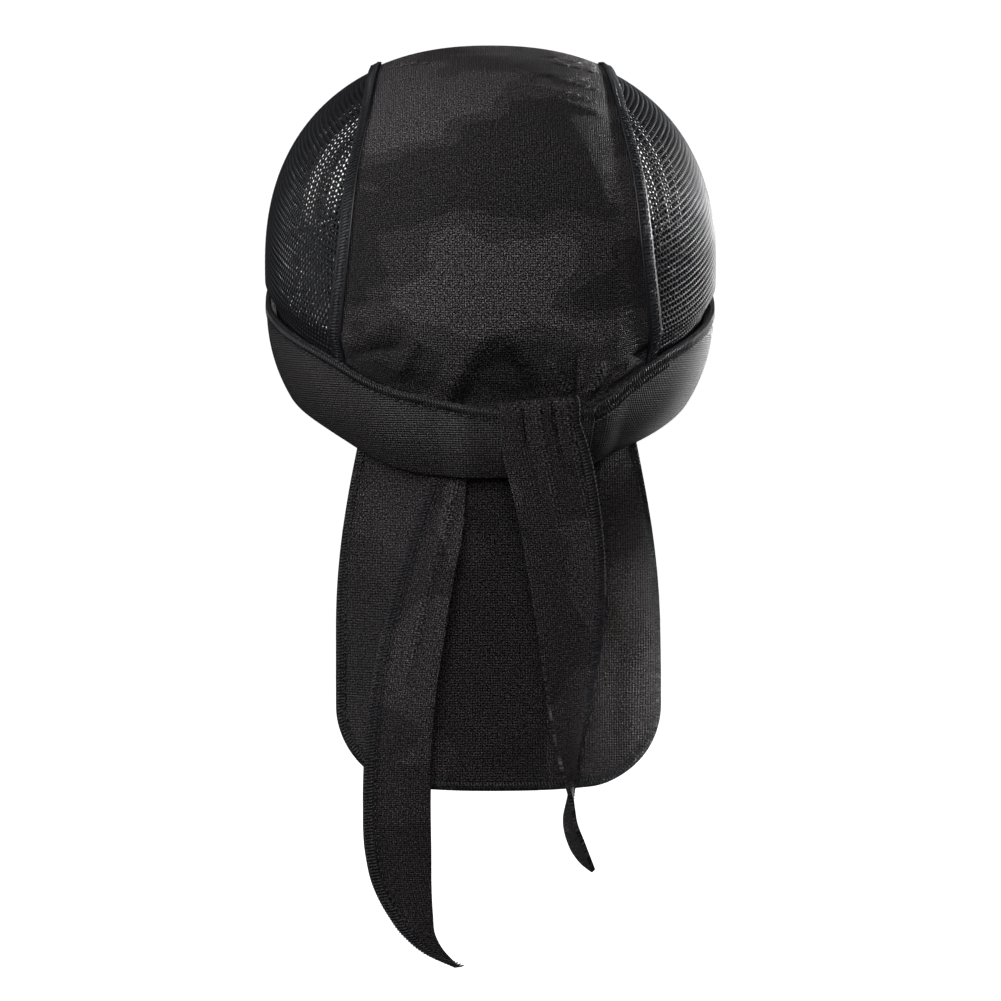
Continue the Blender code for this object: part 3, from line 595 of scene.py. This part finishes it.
def meshSide(name, side):
    # each cell is a ring of eight quads between a hole and the cell's border, shared with its neighbours
    columns = int(net["reach"] / net["holePitch"]) * 2
    rows = int(net["reach"] / net["rowPitch"])
    stepX, stepY = net["holePitch"] / 2, net["rowPitch"] / 2
    cellRow, cellColumn = np.meshgrid(np.arange(rows), np.arange(columns // 2), indexing="ij")
    middleX = cellColumn * 2 + 1 + cellRow % 2
    middleY = cellRow * 2 + 1
    width = columns + 4
    ringX = np.array([1, 1, 0, -1, -1, -1, 0, 1])
    ringY = np.array([0, 1, 1, 1, 0, -1, -1, -1])
    border = (middleY[..., None] + ringY) * width + (middleX[..., None] + ringX)
    border = border.reshape(-1, 8)
    centreFlat = np.stack([(middleX - columns / 2) * stepX, (middleY - rows) * stepY], axis=-1).reshape(-1, 2)
    tilt = math.radians(net["turned"])
    spin = np.array([[math.cos(tilt), math.sin(tilt)], [-math.sin(tilt), math.cos(tilt)]])
    middles = netOnForm(centreFlat @ spin, side)
    inCrown, angle = seamShare(middles)
    turn, height = alongRay(middles, 0.0)
    kept = (inCrown > 1.0) & (height > bandTop(turn) - net["tuck"])
    kept = kept & (np.abs(centreFlat).max(axis=1) < net["reach"] / 2)
    border = border[kept]
    centreFlat = centreFlat[kept]
    opened = eased((height[kept] - bandTop(turn[kept])) / net["narrowRise"])
    opened = net["narrow"] + (1 - net["narrow"]) * opened
    used, flatIndex = np.unique(border, return_inverse=True)
    border = flatIndex.reshape(-1, 8)
    latticeX = used % width
    latticeY = used // width
    lattice = np.stack([(latticeX - columns / 2) * stepX, (latticeY - rows) * stepY], axis=-1)
    ribbed = np.where(latticeY % 2 == 0, 1.0, net["rowRib"]) * net["ribRise"]
    turnRing = np.arange(8) * math.pi / 4
    hole = np.stack([np.cos(turnRing) * net["holeAlong"], np.sin(turnRing) * net["holeAcross"]], axis=-1)
    rim = (centreFlat[:, None] + hole[None] * opened[:, None, None]).reshape(-1, 2)
    flat = np.concatenate([lattice, rim])
    lift = np.concatenate([ribbed, np.zeros(len(rim))])
    inner = len(lattice) + np.arange(len(rim)).reshape(-1, 8)
    faces = np.stack([border, np.roll(border, -1, axis=1), np.roll(inner, -1, axis=1), inner], axis=-1)
    faces = faces.reshape(-1, 4)
    direction = netOnForm(flat @ spin, side)
    inCrown, angle = seamShare(direction)
    onSeam = crownDirection(np.ones(len(angle)) * side, seamSpan(angle))
    direction = np.where((inCrown < 1.0)[:, None], onSeam, direction)
    turn, height = alongRay(direction, 0.0)
    height = np.maximum(height, bandTop(turn) - net["tuck"])
    points = place(turn, height, lift)
    if side > 0:
        faces = faces[:, ::-1]
    return meshPiece(name, points, faces, None, meshYarn, net["wall"])


meshPanelLeft = meshSide("meshPanelLeft", -1)
meshPanelRight = meshSide("meshPanelRight", 1)
for panel, node in ((meshPanelLeft, "mesh_panel_left"), (meshPanelRight, "mesh_panel_right")):
    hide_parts(node)

print("seams")
seam = {
    "width": 0.0046, "rows": 300, "columns": 10, "wall": 0.0005, "lift": 0.00115, "crown": 0.0003,
    "lean": 0.00012, "underBand": 0.0004, "slant": 0.0009,
    "needleAt": (-0.26, 0.30), "needleRise": 0.0002, "needlePitch": 0.0021,
}


def seamStrip(name, side):
    # a narrow strip over the crown's edge, lifted along rays, with its overlock and two rows of stitches
    ends = [crownEnd(np.array([1.0]), back, seam["underBand"])[0] for back in (False, True)]
    angle = np.linspace(ends[0], ends[1], seam["rows"] + 1)[:, None]
    half = seam["width"] / 2 / seamLine["halfWidth"]
    rowShare = np.linspace(-1, 1, seam["columns"] + 1)[None, :]
    share, angle = np.broadcast_arrays((1 + rowShare * half) * side, angle)
    lift = seam["lift"] - seam["lean"] * rowShare + seam["crown"] * (1 - rowShare ** 4)
    lift = lift + np.zeros(share.shape)
    turn, height = alongRay(crownDirection(share, angle), lift)
    points = place(turn, height, lift)
    if side > 0:
        points = points[::-1]
    uv = np.stack([rowShare * seam["width"] / 2 + 0 * angle, angle * form["unrolled"]], axis=-1)
    strip = clothPiece(name, points, uv, seamThread, seam["wall"])
    line, across, out = edgeOf(points, seam["columns"] // 2, seam["wall"], 0)
    overlock(name + "Overlock", line, across, out, seam["width"], seam["slant"])
    for letter, inset in zip("AB", seam["needleAt"]):
        row = line + across * inset * seam["width"] + out * seam["needleRise"]
        needleRow(name + "Needle" + letter, row, across, out, seamThread, seam["needlePitch"])
    return strip


seamLeft = seamStrip("seamLeft", -1)
seamRight = seamStrip("seamRight", 1)
for strip, node in ((seamLeft, "seam_left"), (seamRight, "seam_right")):
    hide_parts(node)

print("band")
# Turns in degrees; the rows of stitches stand in from the top edge by shares of the strip's width
band = {
    "columns": 440, "rows": 36, "wall": 0.0015, "under": 0.0020, "bulge": 0.0010,
    "leftEnd": 21.0, "rightEnd": -5.0, "overlapFull": 22.0, "overlapRamp": 22.0, "overlapLift": 0.0028,
    "strip": 0.0034, "needleAt": 0.62,
    "rightRowFrom": 44.0, "rightRowTo": 12.0, "rightRowAt": 0.85, "rightRowWide": 0.7,
    "paleAt": 1.30, "palePitch": 0.0018,
}
knot = {
    "turn": 9.5, "spread": 30.0, "ramp": 7.5, "lift": 0.0032, "clear": 0.0016, "topRise": 0.0030,
    "loopDepth": 0.0038, "lowSteps": 10, "loopSteps": 40, "smoothed": 19,
    "sagTop": 0.0022, "sagReach": 0.010, "sagSlope": 1.1, "sagFrom": 0.25, "gatherEnd": 1.2,
}


def bandLift(position):
    # how far the band stands off the form: more where it passes over the knot
    beyond = np.abs(position - knot["turn"]) - knot["spread"] / 2
    return band["under"] + knot["lift"] * eased(1 - beyond / knot["ramp"])


degrees = np.linspace(band["leftEnd"], band["rightEnd"] - 360, band["columns"] + 1)[None, :]
row = np.linspace(1, -1, band["rows"] + 1)[:, None]
wrapped = (degrees + 180.0) % 360.0 - 180.0
over = eased((degrees + band["overlapFull"] + band["overlapRamp"]) / band["overlapRamp"])
lift = bandLift(wrapped) + over * band["overlapLift"] + band["bulge"] * (1 - row ** 2)
turn = np.radians(degrees)
height = bandMiddle(turn) + bandHalf(turn) * row
turn = np.broadcast_to(turn, height.shape)
bandPoints = place(turn, height, lift)
uv = np.stack([turn * form["unrolled"], height], axis=-1)
headBand = clothPiece("headBand", bandPoints, uv, bandCloth, band["wall"])
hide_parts("head_band")

topGrid = np.swapaxes(bandPoints, 0, 1)
line, across, out = edgeOf(topGrid, 0, band["wall"], band["strip"] / 2)
overlock("bandOverlock", line, across, out, band["strip"])
needleRow("bandNeedle", line - across * band["strip"] * band["needleAt"], across, out, seamThread)
# Near the knot the right end shows a second row of overlock with a pale line of stitches under it
right = np.nonzero((degrees[0] < band["rightRowFrom"] - 360) & (degrees[0] > band["rightRowTo"] - 360))[0]
line, across, out = line[right], across[right], out[right]
overlock("bandRightOverlock", line - across * band["strip"] * band["rightRowAt"], across, out,
         band["strip"] * band["rightRowWide"])
needleRow("bandRightNeedle", line - across * band["strip"] * band["paleAt"], across, out,
          paleThread, band["palePitch"])

print("neck flap")
flap = {
    "rows": 150, "columns": 140, "rowEase": 0.3, "wall": 0.0012, "halfWidth": 0.0578, "offset": 0.0013,
    "topShare": 0.845, "widestDrop": 0.55, "bottom": 0.2670, "corner": 0.0255, "sag": 0.0040, "flare": 0.0030,
    "sideCurve": 0.0300, "footCurve": 0.0110, "sidePower": 2.3, "sideLeast": 0.05, "easing": 0.0350,
    "foldRise": 0.0045, "foldStart": 0.25, "foldEnd": 0.70, "foldReach": 1.20, "tuckGap": 0.0006, "fits": 12,
    "hem": 0.0036, "hemFrom": 24, "hemPlaces": 500, "hemSlant": 0.0007, "hemNeedleAt": 0.55,
}
flapDrop = flap["bottom"] - form["up"] - bandLine["napeDepth"]
# Folds down the flap: place and half width as shares of its half width, at the top and at the foot
flapFolds = {
    "sideTop": (-0.72, -0.10, 0.58, 0.94, 0.74), "sideFoot": (-0.66, 0.06, 0.98, 1.04, 0.70),
    "width": (0.22, 0.30, 0.17, 0.12, 0.10), "rise": (0.45, -0.60, 1.00, -0.55, -0.35),
}


def napeDepth(across, height):
    # how far back the drawn-in form lies at a place across: back times (1 - |across / half|^n)^(1/n)
    power = form["power"]
    half = (form["halfWidth"] - bandLine["pinch"]) * level(height, 0.0, False)
    back = (form["back"] - bandLine["pinch"]) * level(height, 0.0, True)
    inside = np.clip(1 - (np.abs(across) / half) ** power, flap["sideLeast"], 1)
    return back * inside ** (1 / power)


def napeLine(across, dropShare):
    # height at a share of the way from the flap's hidden top to the band's lower edge, fitted by repeats
    depth = np.full(np.shape(across), form["back"])
    for step in range(flap["fits"]):
        turn = np.arctan2(across, depth)
        hidden = bandTop(turn) - crown["tuck"] - flap["tuckGap"]
        lower = bandMiddle(turn) - bandHalf(turn)
        height = hidden + (lower - hidden) * dropShare
        depth = napeDepth(across, height)
    return height


def flapDepth(across, height):
    # how far back the flap lies: on the form under the band, then hanging in a bow, with its folds
    edge = napeLine(across, 1.0)
    side = (across - flap["offset"]) / flap["halfWidth"]
    nape = (form["back"] - bandLine["pinch"]) * level(bandMiddle(0.0) - bandHalf(0.0), 0.0, True)
    drop = np.clip((edge - height) / flapDrop, 0, 1)
    curve = flap["sideCurve"] + (flap["footCurve"] - flap["sideCurve"]) * eased(drop / flap["foldEnd"])
    hanging = nape + flap["flare"] - curve * np.abs(side) ** flap["sidePower"]
    held = napeDepth(across, np.maximum(height, edge))
    loose = eased((edge - height) / flap["easing"])
    depth = held + (hanging - held) * loose
    for fold in rowsOf(flapFolds):
        line = fold["sideTop"] + (fold["sideFoot"] - fold["sideTop"]) * drop
        wave = np.exp(-((side - line) / fold["width"]) ** 2)
        ends = eased(drop / flap["foldStart"]) * eased((flap["foldReach"] - drop) / flap["foldEnd"])
        depth = depth + fold["rise"] * flap["foldRise"] * wave * ends
    return depth


spread = np.sin(np.linspace(math.pi / 2, -math.pi / 2, flap["columns"] + 1))[None, :]
top = napeLine(flap["offset"] + spread * flap["halfWidth"] * flap["topShare"], 0.0)
corner = np.clip((np.abs(spread) - 1) * flap["halfWidth"] + flap["corner"], 0, flap["corner"])
raised = flap["corner"] - np.sqrt(flap["corner"] ** 2 - corner ** 2)
bottom = form["up"] - flap["bottom"] + raised + flap["sag"] * spread ** 2
row = np.linspace(0, 1, flap["rows"] + 1)[:, None]
row = row - flap["rowEase"] * row * (1 - row)
height = top + (bottom - top) * row
drop = (-bandLine["napeDepth"] - height) / flapDrop
widening = np.sin(np.pi / 2 * np.clip(drop / flap["widestDrop"], 0, 1))
wide = flap["topShare"] + (1 - flap["topShare"]) * widening
acrossFlap = flap["offset"] + spread * flap["halfWidth"] * wide
flapPoints = np.stack([acrossFlap, -flapDepth(acrossFlap, height), height - form["up"]], axis=-1)
uv = np.stack([acrossFlap, height], axis=-1)
neckFlap = clothPiece("neckFlap", flapPoints, uv, flapCloth, flap["wall"])
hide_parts("neck_flap")

# Hem round the flap: down the left edge, along the foot and up the right edge
outFlap = -unit(np.cross(np.gradient(flapPoints, axis=1), np.gradient(flapPoints, axis=0)))
outFlap = outFlap * np.where(np.mean(outFlap[..., 1]) > 0, -1, 1)
hemStart = flap["hemFrom"]
hemLine = np.concatenate([flapPoints[hemStart:-1, -1], flapPoints[-1, ::-1], flapPoints[-2:hemStart:-1, 0]])
hemOut = np.concatenate([outFlap[hemStart:-1, -2], outFlap[-2, ::-1], outFlap[-2:hemStart:-1, 1]])
hemRun = np.concatenate([[0], np.cumsum(np.linalg.norm(np.diff(hemLine, axis=0), axis=1))])
hemAt = np.interp(np.linspace(0, hemRun[-1], flap["hemPlaces"]), hemRun, np.arange(len(hemLine)))
hemLine = sampled(hemLine, hemAt)
hemOut = unit(sampled(hemOut, hemAt))
hemAhead = unit(np.gradient(hemLine, axis=0))
hemSide = unit(np.cross(hemAhead, hemOut))
firstEdge = hemSide[:flap["hemPlaces"] // 5, 0]
hemSide = hemSide * (-1 if np.mean(firstEdge) > 0 else 1)
hemMiddle = hemLine - hemSide * flap["hem"] / 2 + hemOut * flap["wall"]
overlock("flapHem", hemMiddle, hemSide, hemOut, flap["hem"], flap["hemSlant"])
needleRow("flapNeedle", hemMiddle - hemSide * flap["hem"] * flap["hemNeedleAt"], hemSide, hemOut, seamThread)

print("ties")
tie = {
    "rows": 260, "columns": 36, "wall": 0.0016, "standoff": 0.0070, "dish": 0.035, "layerGap": 0.0008,
    "bindIn": 0.0022, "bindWide": 0.0042, "bindSlant": 0.0009,
}
# Along each tie, by shares of its drop: sway to the side, width, how far it stands out, and its turn. The
# binding and the stitches run between numbered rows, and a crease goes from one place across to another
rearTie = {
    "bindFrom": 20, "needleTo": 250, "needleIn": 0.0026,
    "creaseFrom": 0.004, "creaseTo": 0.001, "creaseLong": 0.075, "creaseHalf": 0.0016, "creaseRise": 0.0008,
    "turn0": 10.6, "cover": 0.0120, "tip": 0.3283, "full": 0.0240, "sweep": 0.0207,
    "drop": (0.0, 0.08, 0.18, 0.26, 0.35, 0.475, 0.57, 0.69, 0.79, 0.85, 0.905, 0.945, 0.975, 1.0),
    "sway": (0.0, 0.12, 0.31, 0.50, 0.68, 0.88, 0.965, 1.0, 0.975, 0.91, 0.77, 0.61, 0.36, -0.01),
    "width": (0.56, 0.57, 0.79, 0.87, 0.94, 0.985, 0.99, 1.0, 0.975, 0.87, 0.67, 0.47, 0.30, 0.03),
    "out": (0.0, 0.16, 0.72, 0.86, 0.90, 0.86, 0.80, 0.70, 0.62, 0.60, 0.60, 0.60, 0.60, 0.60),
    "turn": (-12, -12, -16, -17, -15, -12, -9, -7, -7, -8, -8, -8, -8, -8),
}
frontTie = {
    "bindFrom": 30, "bindTo": -6,
    "needleFrom": 28, "needleTo": 150, "needleOut": 0.0019, "needlePitch": 0.0016,
    "turn0": 8.8, "tip": 0.2945, "full": 0.0300, "sweep": 0.0188, "behind": 0.0130, "behindStep": 0.0028,
    "drop": (0.0, 0.07, 0.17, 0.25, 0.36, 0.46, 0.55, 0.635, 0.74, 0.84, 0.89, 0.93, 0.965, 0.99, 1.0),
    "sway": (0.0, 0.12, 0.31, 0.425, 0.53, 0.58, 0.58, 0.57, 0.555, 0.575, 0.57, 0.665, 0.79, 0.925, 1.0),
    "width": (0.94, 1.03, 1.0, 0.97, 0.91, 0.83, 0.74, 0.66, 0.56, 0.44, 0.37, 0.32, 0.24, 0.11, 0.02),
    "out": (1.0, 1.05, 1.0, 0.88, 0.70, 0.56, 0.47, 0.40, 0.33, 0.27, 0.23, 0.20, 0.18, 0.16, 0.16),
    "turn": (8, 8, 8, 10, 15, 22, 31, 43, 63, 92, 108, 120, 127, 131, 132),
}


def ribbon(centre, turn, width, relief):
    # a middle line with its width laid across it, its edges drawn in, and folds given as a rise off it
    across = np.linspace(0.5, -0.5, tie["columns"] + 1)[None, :, None]
    sideWay = np.stack([np.cos(turn), np.sin(turn), np.zeros_like(turn)], axis=-1)[:, None, :]
    outWay = np.stack([np.sin(turn), -np.cos(turn), np.zeros_like(turn)], axis=-1)[:, None, :]
    width = width[:, None, None]
    outward = relief[..., None] - 4 * tie["dish"] * width * across ** 2
    return centre[:, None] + sideWay * across * width + outWay * outward


drop = np.linspace(0, 1, tie["rows"] + 1)
start = -math.radians(rearTie["turn0"])
lower = bandMiddle(start) - bandHalf(start)
first = planRadius(start, lower, crown["wall"]) * math.sin(start)
side = first - column(rearTie, "drop", "sway", drop) * rearTie["sweep"]
width = column(rearTie, "drop", "width", drop) * rearTie["full"]
outward = column(rearTie, "drop", "out", drop) * tie["standoff"]
turn = np.radians(column(rearTie, "drop", "turn", drop))
top = lower + rearTie["cover"]
height = top + (form["up"] - rearTie["tip"] - top) * drop
onFlap = np.clip(height, form["up"] - flap["bottom"], None)
base = flapDepth(side, onFlap) + flap["wall"] + tie["layerGap"]
centre = np.stack([side, -(base + outward), height - form["up"]], axis=-1)
acrossTie = np.linspace(0.5, -0.5, tie["columns"] + 1)[None, :]
crease = ridge(acrossTie * width[:, None], height[:, None], rearTie["creaseFrom"], float(top),
               rearTie["creaseTo"], float(top) - rearTie["creaseLong"], rearTie["creaseHalf"])
relief = rearTie["creaseRise"] * crease
rearPoints = ribbon(centre, turn, width, relief)
uv = np.stack([acrossTie * width[:, None], np.broadcast_to(height[:, None], relief.shape)], axis=-1)
rearTiePiece = clothPiece("rearTie", rearPoints, uv, tieCloth, tie["wall"])
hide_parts("rear_tie")

line, across, out = edgeOf(rearPoints, tie["columns"], tie["wall"], tie["bindIn"])
bound = slice(rearTie["bindFrom"], None)
overlock("rearTieBinding", line[bound], across[bound], out[bound], tie["bindWide"], tie["bindSlant"])
sewnRows = slice(rearTie["bindFrom"], rearTie["needleTo"])
needleRow("rearTieNeedle", (line - across * rearTie["needleIn"])[sewnRows], across[sewnRows], out[sewnRows],
          seamThread)

# The front tie comes up behind the band, loops over its top edge and hangs in front of it
drop = drop[1:]
knotTurn = math.radians(frontTie["turn0"])
topEdge = bandTop(knotTurn)
behind = crown["wall"] + tie["layerGap"] + tie["wall"]
front = crown["wall"] + knot["lift"] + band["overlapLift"] + knot["clear"] + band["bulge"]
front = front + 2 * tie["layerGap"]
loopStart = topEdge - knot["loopDepth"]
low = np.linspace(topEdge - frontTie["behind"], loopStart - frontTie["behindStep"], knot["lowSteps"])
swing = np.linspace(0, math.pi, knot["loopSteps"])
rising = loopStart + (knot["loopDepth"] + knot["topRise"]) * np.sin(swing)
loopHeight = np.concatenate([low, rising])
loopLift = np.concatenate([np.full(low.shape, behind), behind + (front - behind) * (1 - np.cos(swing)) / 2])
loopRadius = planRadius(knotTurn, loopHeight, loopLift)
loop = np.stack([loopRadius * math.sin(knotTurn), -loopRadius * math.cos(knotTurn),
                 loopHeight - form["up"]], axis=-1)
side = loop[-1, 0] + column(frontTie, "drop", "sway", drop) * frontTie["sweep"]
down = loop[-1, 2] + (-frontTie["tip"] - loop[-1, 2]) * drop
foot = -loop[-1, 1] - tie["standoff"]
depth = foot + column(frontTie, "drop", "out", drop) * tie["standoff"]
centre = np.concatenate([loop, np.stack([side, -depth, down], axis=-1)])
held = np.ones(len(loop))
width = np.concatenate([held * frontTie["width"][0], column(frontTie, "drop", "width", drop)])
width = width * frontTie["full"]
turn = np.radians(np.concatenate([held * frontTie["turn"][0], column(frontTie, "drop", "turn", drop)]))
run = np.concatenate([[0], np.cumsum(np.linalg.norm(np.diff(centre, axis=0), axis=1))])
smoothed = knot["smoothed"]
padded = np.pad(centre[:, 1], smoothed // 2, mode="edge")
centre[:, 1] = np.convolve(padded, np.ones(smoothed) / smoothed, mode="valid")
knotRow = len(loop) - len(swing) // 2
sinceKnot = (run - run[knotRow])[:, None]
# Gathers that fan out from the knot: place across, lean, half width, rise and reach
gathers = {
    "at": (0.36, 0.17, -0.02, -0.22), "lean": (-0.9, -0.5, 0.2, 1.0), "half": (0.045, 0.04, 0.05, 0.045),
    "rise": (0.0011, -0.0012, 0.0010, -0.0011), "reach": (0.050, 0.034, 0.060, 0.042),
}
relief = np.zeros((len(run), tie["columns"] + 1))
for fold in rowsOf(gathers):
    line = fold["at"] + fold["lean"] * sinceKnot
    fade = eased(knot["gatherEnd"] - np.abs(sinceKnot) / fold["reach"])
    relief = relief + fold["rise"] * np.exp(-((acrossTie - line) / fold["half"]) ** 2) * fade
sagTop = knot["sagTop"] * eased(1 - np.abs(sinceKnot) / knot["sagReach"])
sagTop = sagTop * eased((0.5 - acrossTie) * knot["sagSlope"] - knot["sagFrom"])
frontPoints = ribbon(centre, turn, width, relief)
frontPoints[..., 2] -= sagTop
uv = np.stack([acrossTie * width[:, None], np.broadcast_to(-run[:, None], relief.shape)], axis=-1)
frontTiePiece = clothPiece("frontTie", frontPoints, uv, tieCloth, tie["wall"])
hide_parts("front_tie")

line, across, out = edgeOf(frontPoints, 0, tie["wall"], tie["bindIn"])
bound = slice(frontTie["bindFrom"], frontTie["bindTo"])
overlock("frontTieBinding", line[bound], across[bound], out[bound], tie["bindWide"], tie["bindSlant"])
sewnRows = slice(frontTie["needleFrom"], frontTie["needleTo"])
needleRow("frontTieNeedle", (line + across * frontTie["needleOut"])[sewnRows], across[sewnRows],
          out[sewnRows], paleThread, frontTie["needlePitch"])

print("cloth")
# Each sheet as it was cut: width and length flat, and its area where the cut isn't a rectangle
cuts = {
    "crownPanel": {"flat": (0.114, 0.330), "area": 0.0314, "held": "stretched", "rests": [],
                   "with": ["seam"]},
    "meshPanelLeft": {"flat": (0.110, 0.175), "area": 0.0135, "held": "stretched", "rests": [], "with": []},
    "meshPanelRight": {"flat": (0.110, 0.175), "area": 0.0135, "held": "stretched", "rests": [],
                       "with": []},
    "headBand": {"flat": (0.034, 0.600), "area": 0.0192, "held": "stretched",
                 "rests": ["crownPanel", "meshPanelLeft", "meshPanelRight", "neckFlap"], "with": ["band"]},
    "neckFlap": {"flat": (0.118, 0.216), "area": 0.0157, "held": "hung", "rests": ["headBand"],
                 "with": ["flap"]},
    "rearTie": {"flat": (0.027, 0.182), "area": 0.0038, "held": "hung", "rests": ["neckFlap"],
                "with": ["rearTie"]},
    "frontTie": {"flat": (0.033, 0.190), "area": 0.0044, "held": "hung", "rests": ["headBand"],
                 "with": ["frontTie"]},
}
sewn = {item.name: item for item in scene.objects}
for name, cut in cuts.items():
    extras = [item for other, item in sewn.items()
              if other not in cuts and any(other.startswith(start) for start in cut["with"])]
    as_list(cut["rests"])
for name, item in sewn.items():
    any(word in name for word in ("Overlock", "Needle", "Hem", "Binding"))

print("stage")
stage = {
    "floor": -0.345, "half": 6.0, "grey": 0.85,
    "airColour": (0.95, 0.97, 1.0), "air": 0.03, "white": 1.05,
}
floorMesh = bpy.data.meshes.new("floor")
half = stage["half"]
corners = [(x * half, y * half, stage["floor"]) for x, y in ((-1, -1), (1, -1), (1, 1), (-1, 1))]
floorMesh.from_pydata(corners, [], [(0, 1, 2, 3)])
floor = bpy.data.objects.new("floor", floorMesh)
scene.collection.objects.link(floor)
floorPaint = bpy.data.materials.new("pale floor")
floorPaint.use_nodes = True
paint = floorPaint.node_tree.nodes["Principled BSDF"]
fill(paint, Base_Color=(stage["grey"],) * 3 + (1,), Roughness=1.0, Specular_IOR_Level=0.0,
     Emission_Color=(1, 1, 1, 1), Emission_Strength=1.0)
floorMesh.materials.append(floorPaint)
floor.visible_diffuse = False
floor.visible_glossy = False



def aimed(way):
    # turns about X and Z that point a lamp or a camera, which looks down at first, along a direction
    return math.atan2(math.hypot(way[0], way[1]), -way[2]), 0, math.atan2(-way[0], way[1])


# Place, height aimed at on the middle line, size, power and spread in degrees
lights = {
    "key": {"from": (1.13, 0.58, 0.16), "aim": -0.058, "size": 0.11, "power": 0.46, "spread": 6.5},
    "top": {"from": (0.0, -0.60, 1.40), "aim": -0.12, "size": 0.8, "power": 3, "spread": 120},
    "left": {"from": (-1.30, -0.20, 0.25), "aim": -0.06, "size": 0.6, "power": 4.6, "spread": 120},
    "low": {"from": (1.10, -0.52, -0.27), "aim": -0.236, "size": 0.06, "power": 0.17, "spread": 5.5},
    "inner": {"from": (0.62, 1.55, -0.30), "aim": -0.16, "size": 0.8, "power": 1.0, "spread": 60},
    "front": {"from": (-0.25, -1.70, 0.45), "aim": -0.12, "size": 1.0, "power": 11, "spread": 120},
}
for name, light in lights.items():
    lamp = bpy.data.lights.new(name, "AREA")
    lamp.energy = light["power"]
    lamp.size = light["size"]
    lamp.spread = math.radians(light["spread"])
    lampObject = bpy.data.objects.new(name, lamp)
    lampObject.location = light["from"]
    way = np.array([0.0, 0.0, light["aim"]]) - np.array(light["from"])
    lampObject.rotation_euler = aimed(way)
    scene.collection.objects.link(lampObject)

world = bpy.data.worlds.new("studio")
world.use_nodes = True
scene.world = world
nodes = world.node_tree.nodes
links = world.node_tree.links
soft = nodes["Background"]
fill(soft, Color=(*stage["airColour"], 1), Strength=stage["air"])
white = nodes.new("ShaderNodeBackground")
fill(white, Color=(1, 1, 1, 1), Strength=stage["white"])
ray = nodes.new("ShaderNodeLightPath")
mix = nodes.new("ShaderNodeMixShader")
links.new(ray.outputs["Is Camera Ray"], mix.inputs["Fac"])
links.new(soft.outputs[0], mix.inputs[1])
links.new(white.outputs[0], mix.inputs[2])
links.new(mix.outputs[0], nodes["World Output"].inputs["Surface"])
scene.view_settings.view_transform = "Standard"
scene.view_settings.look = "None"

camera = {
    "from": (-0.0354, -1.5020, -0.0634), "ahead": (0.0261, 0.9972, -0.0698), "lens": 144.24,
    "sensor": 36.0, "nearest": 0.05,
}
lensData = bpy.data.cameras.new("camera")
lensData.lens = camera["lens"]
lensData.sensor_width = camera["sensor"]
lensData.clip_start = camera["nearest"]
eye = bpy.data.objects.new("camera", lensData)
eye.location = camera["from"]
eye.rotation_euler = aimed(camera["ahead"])
scene.collection.objects.link(eye)
scene.camera = eye
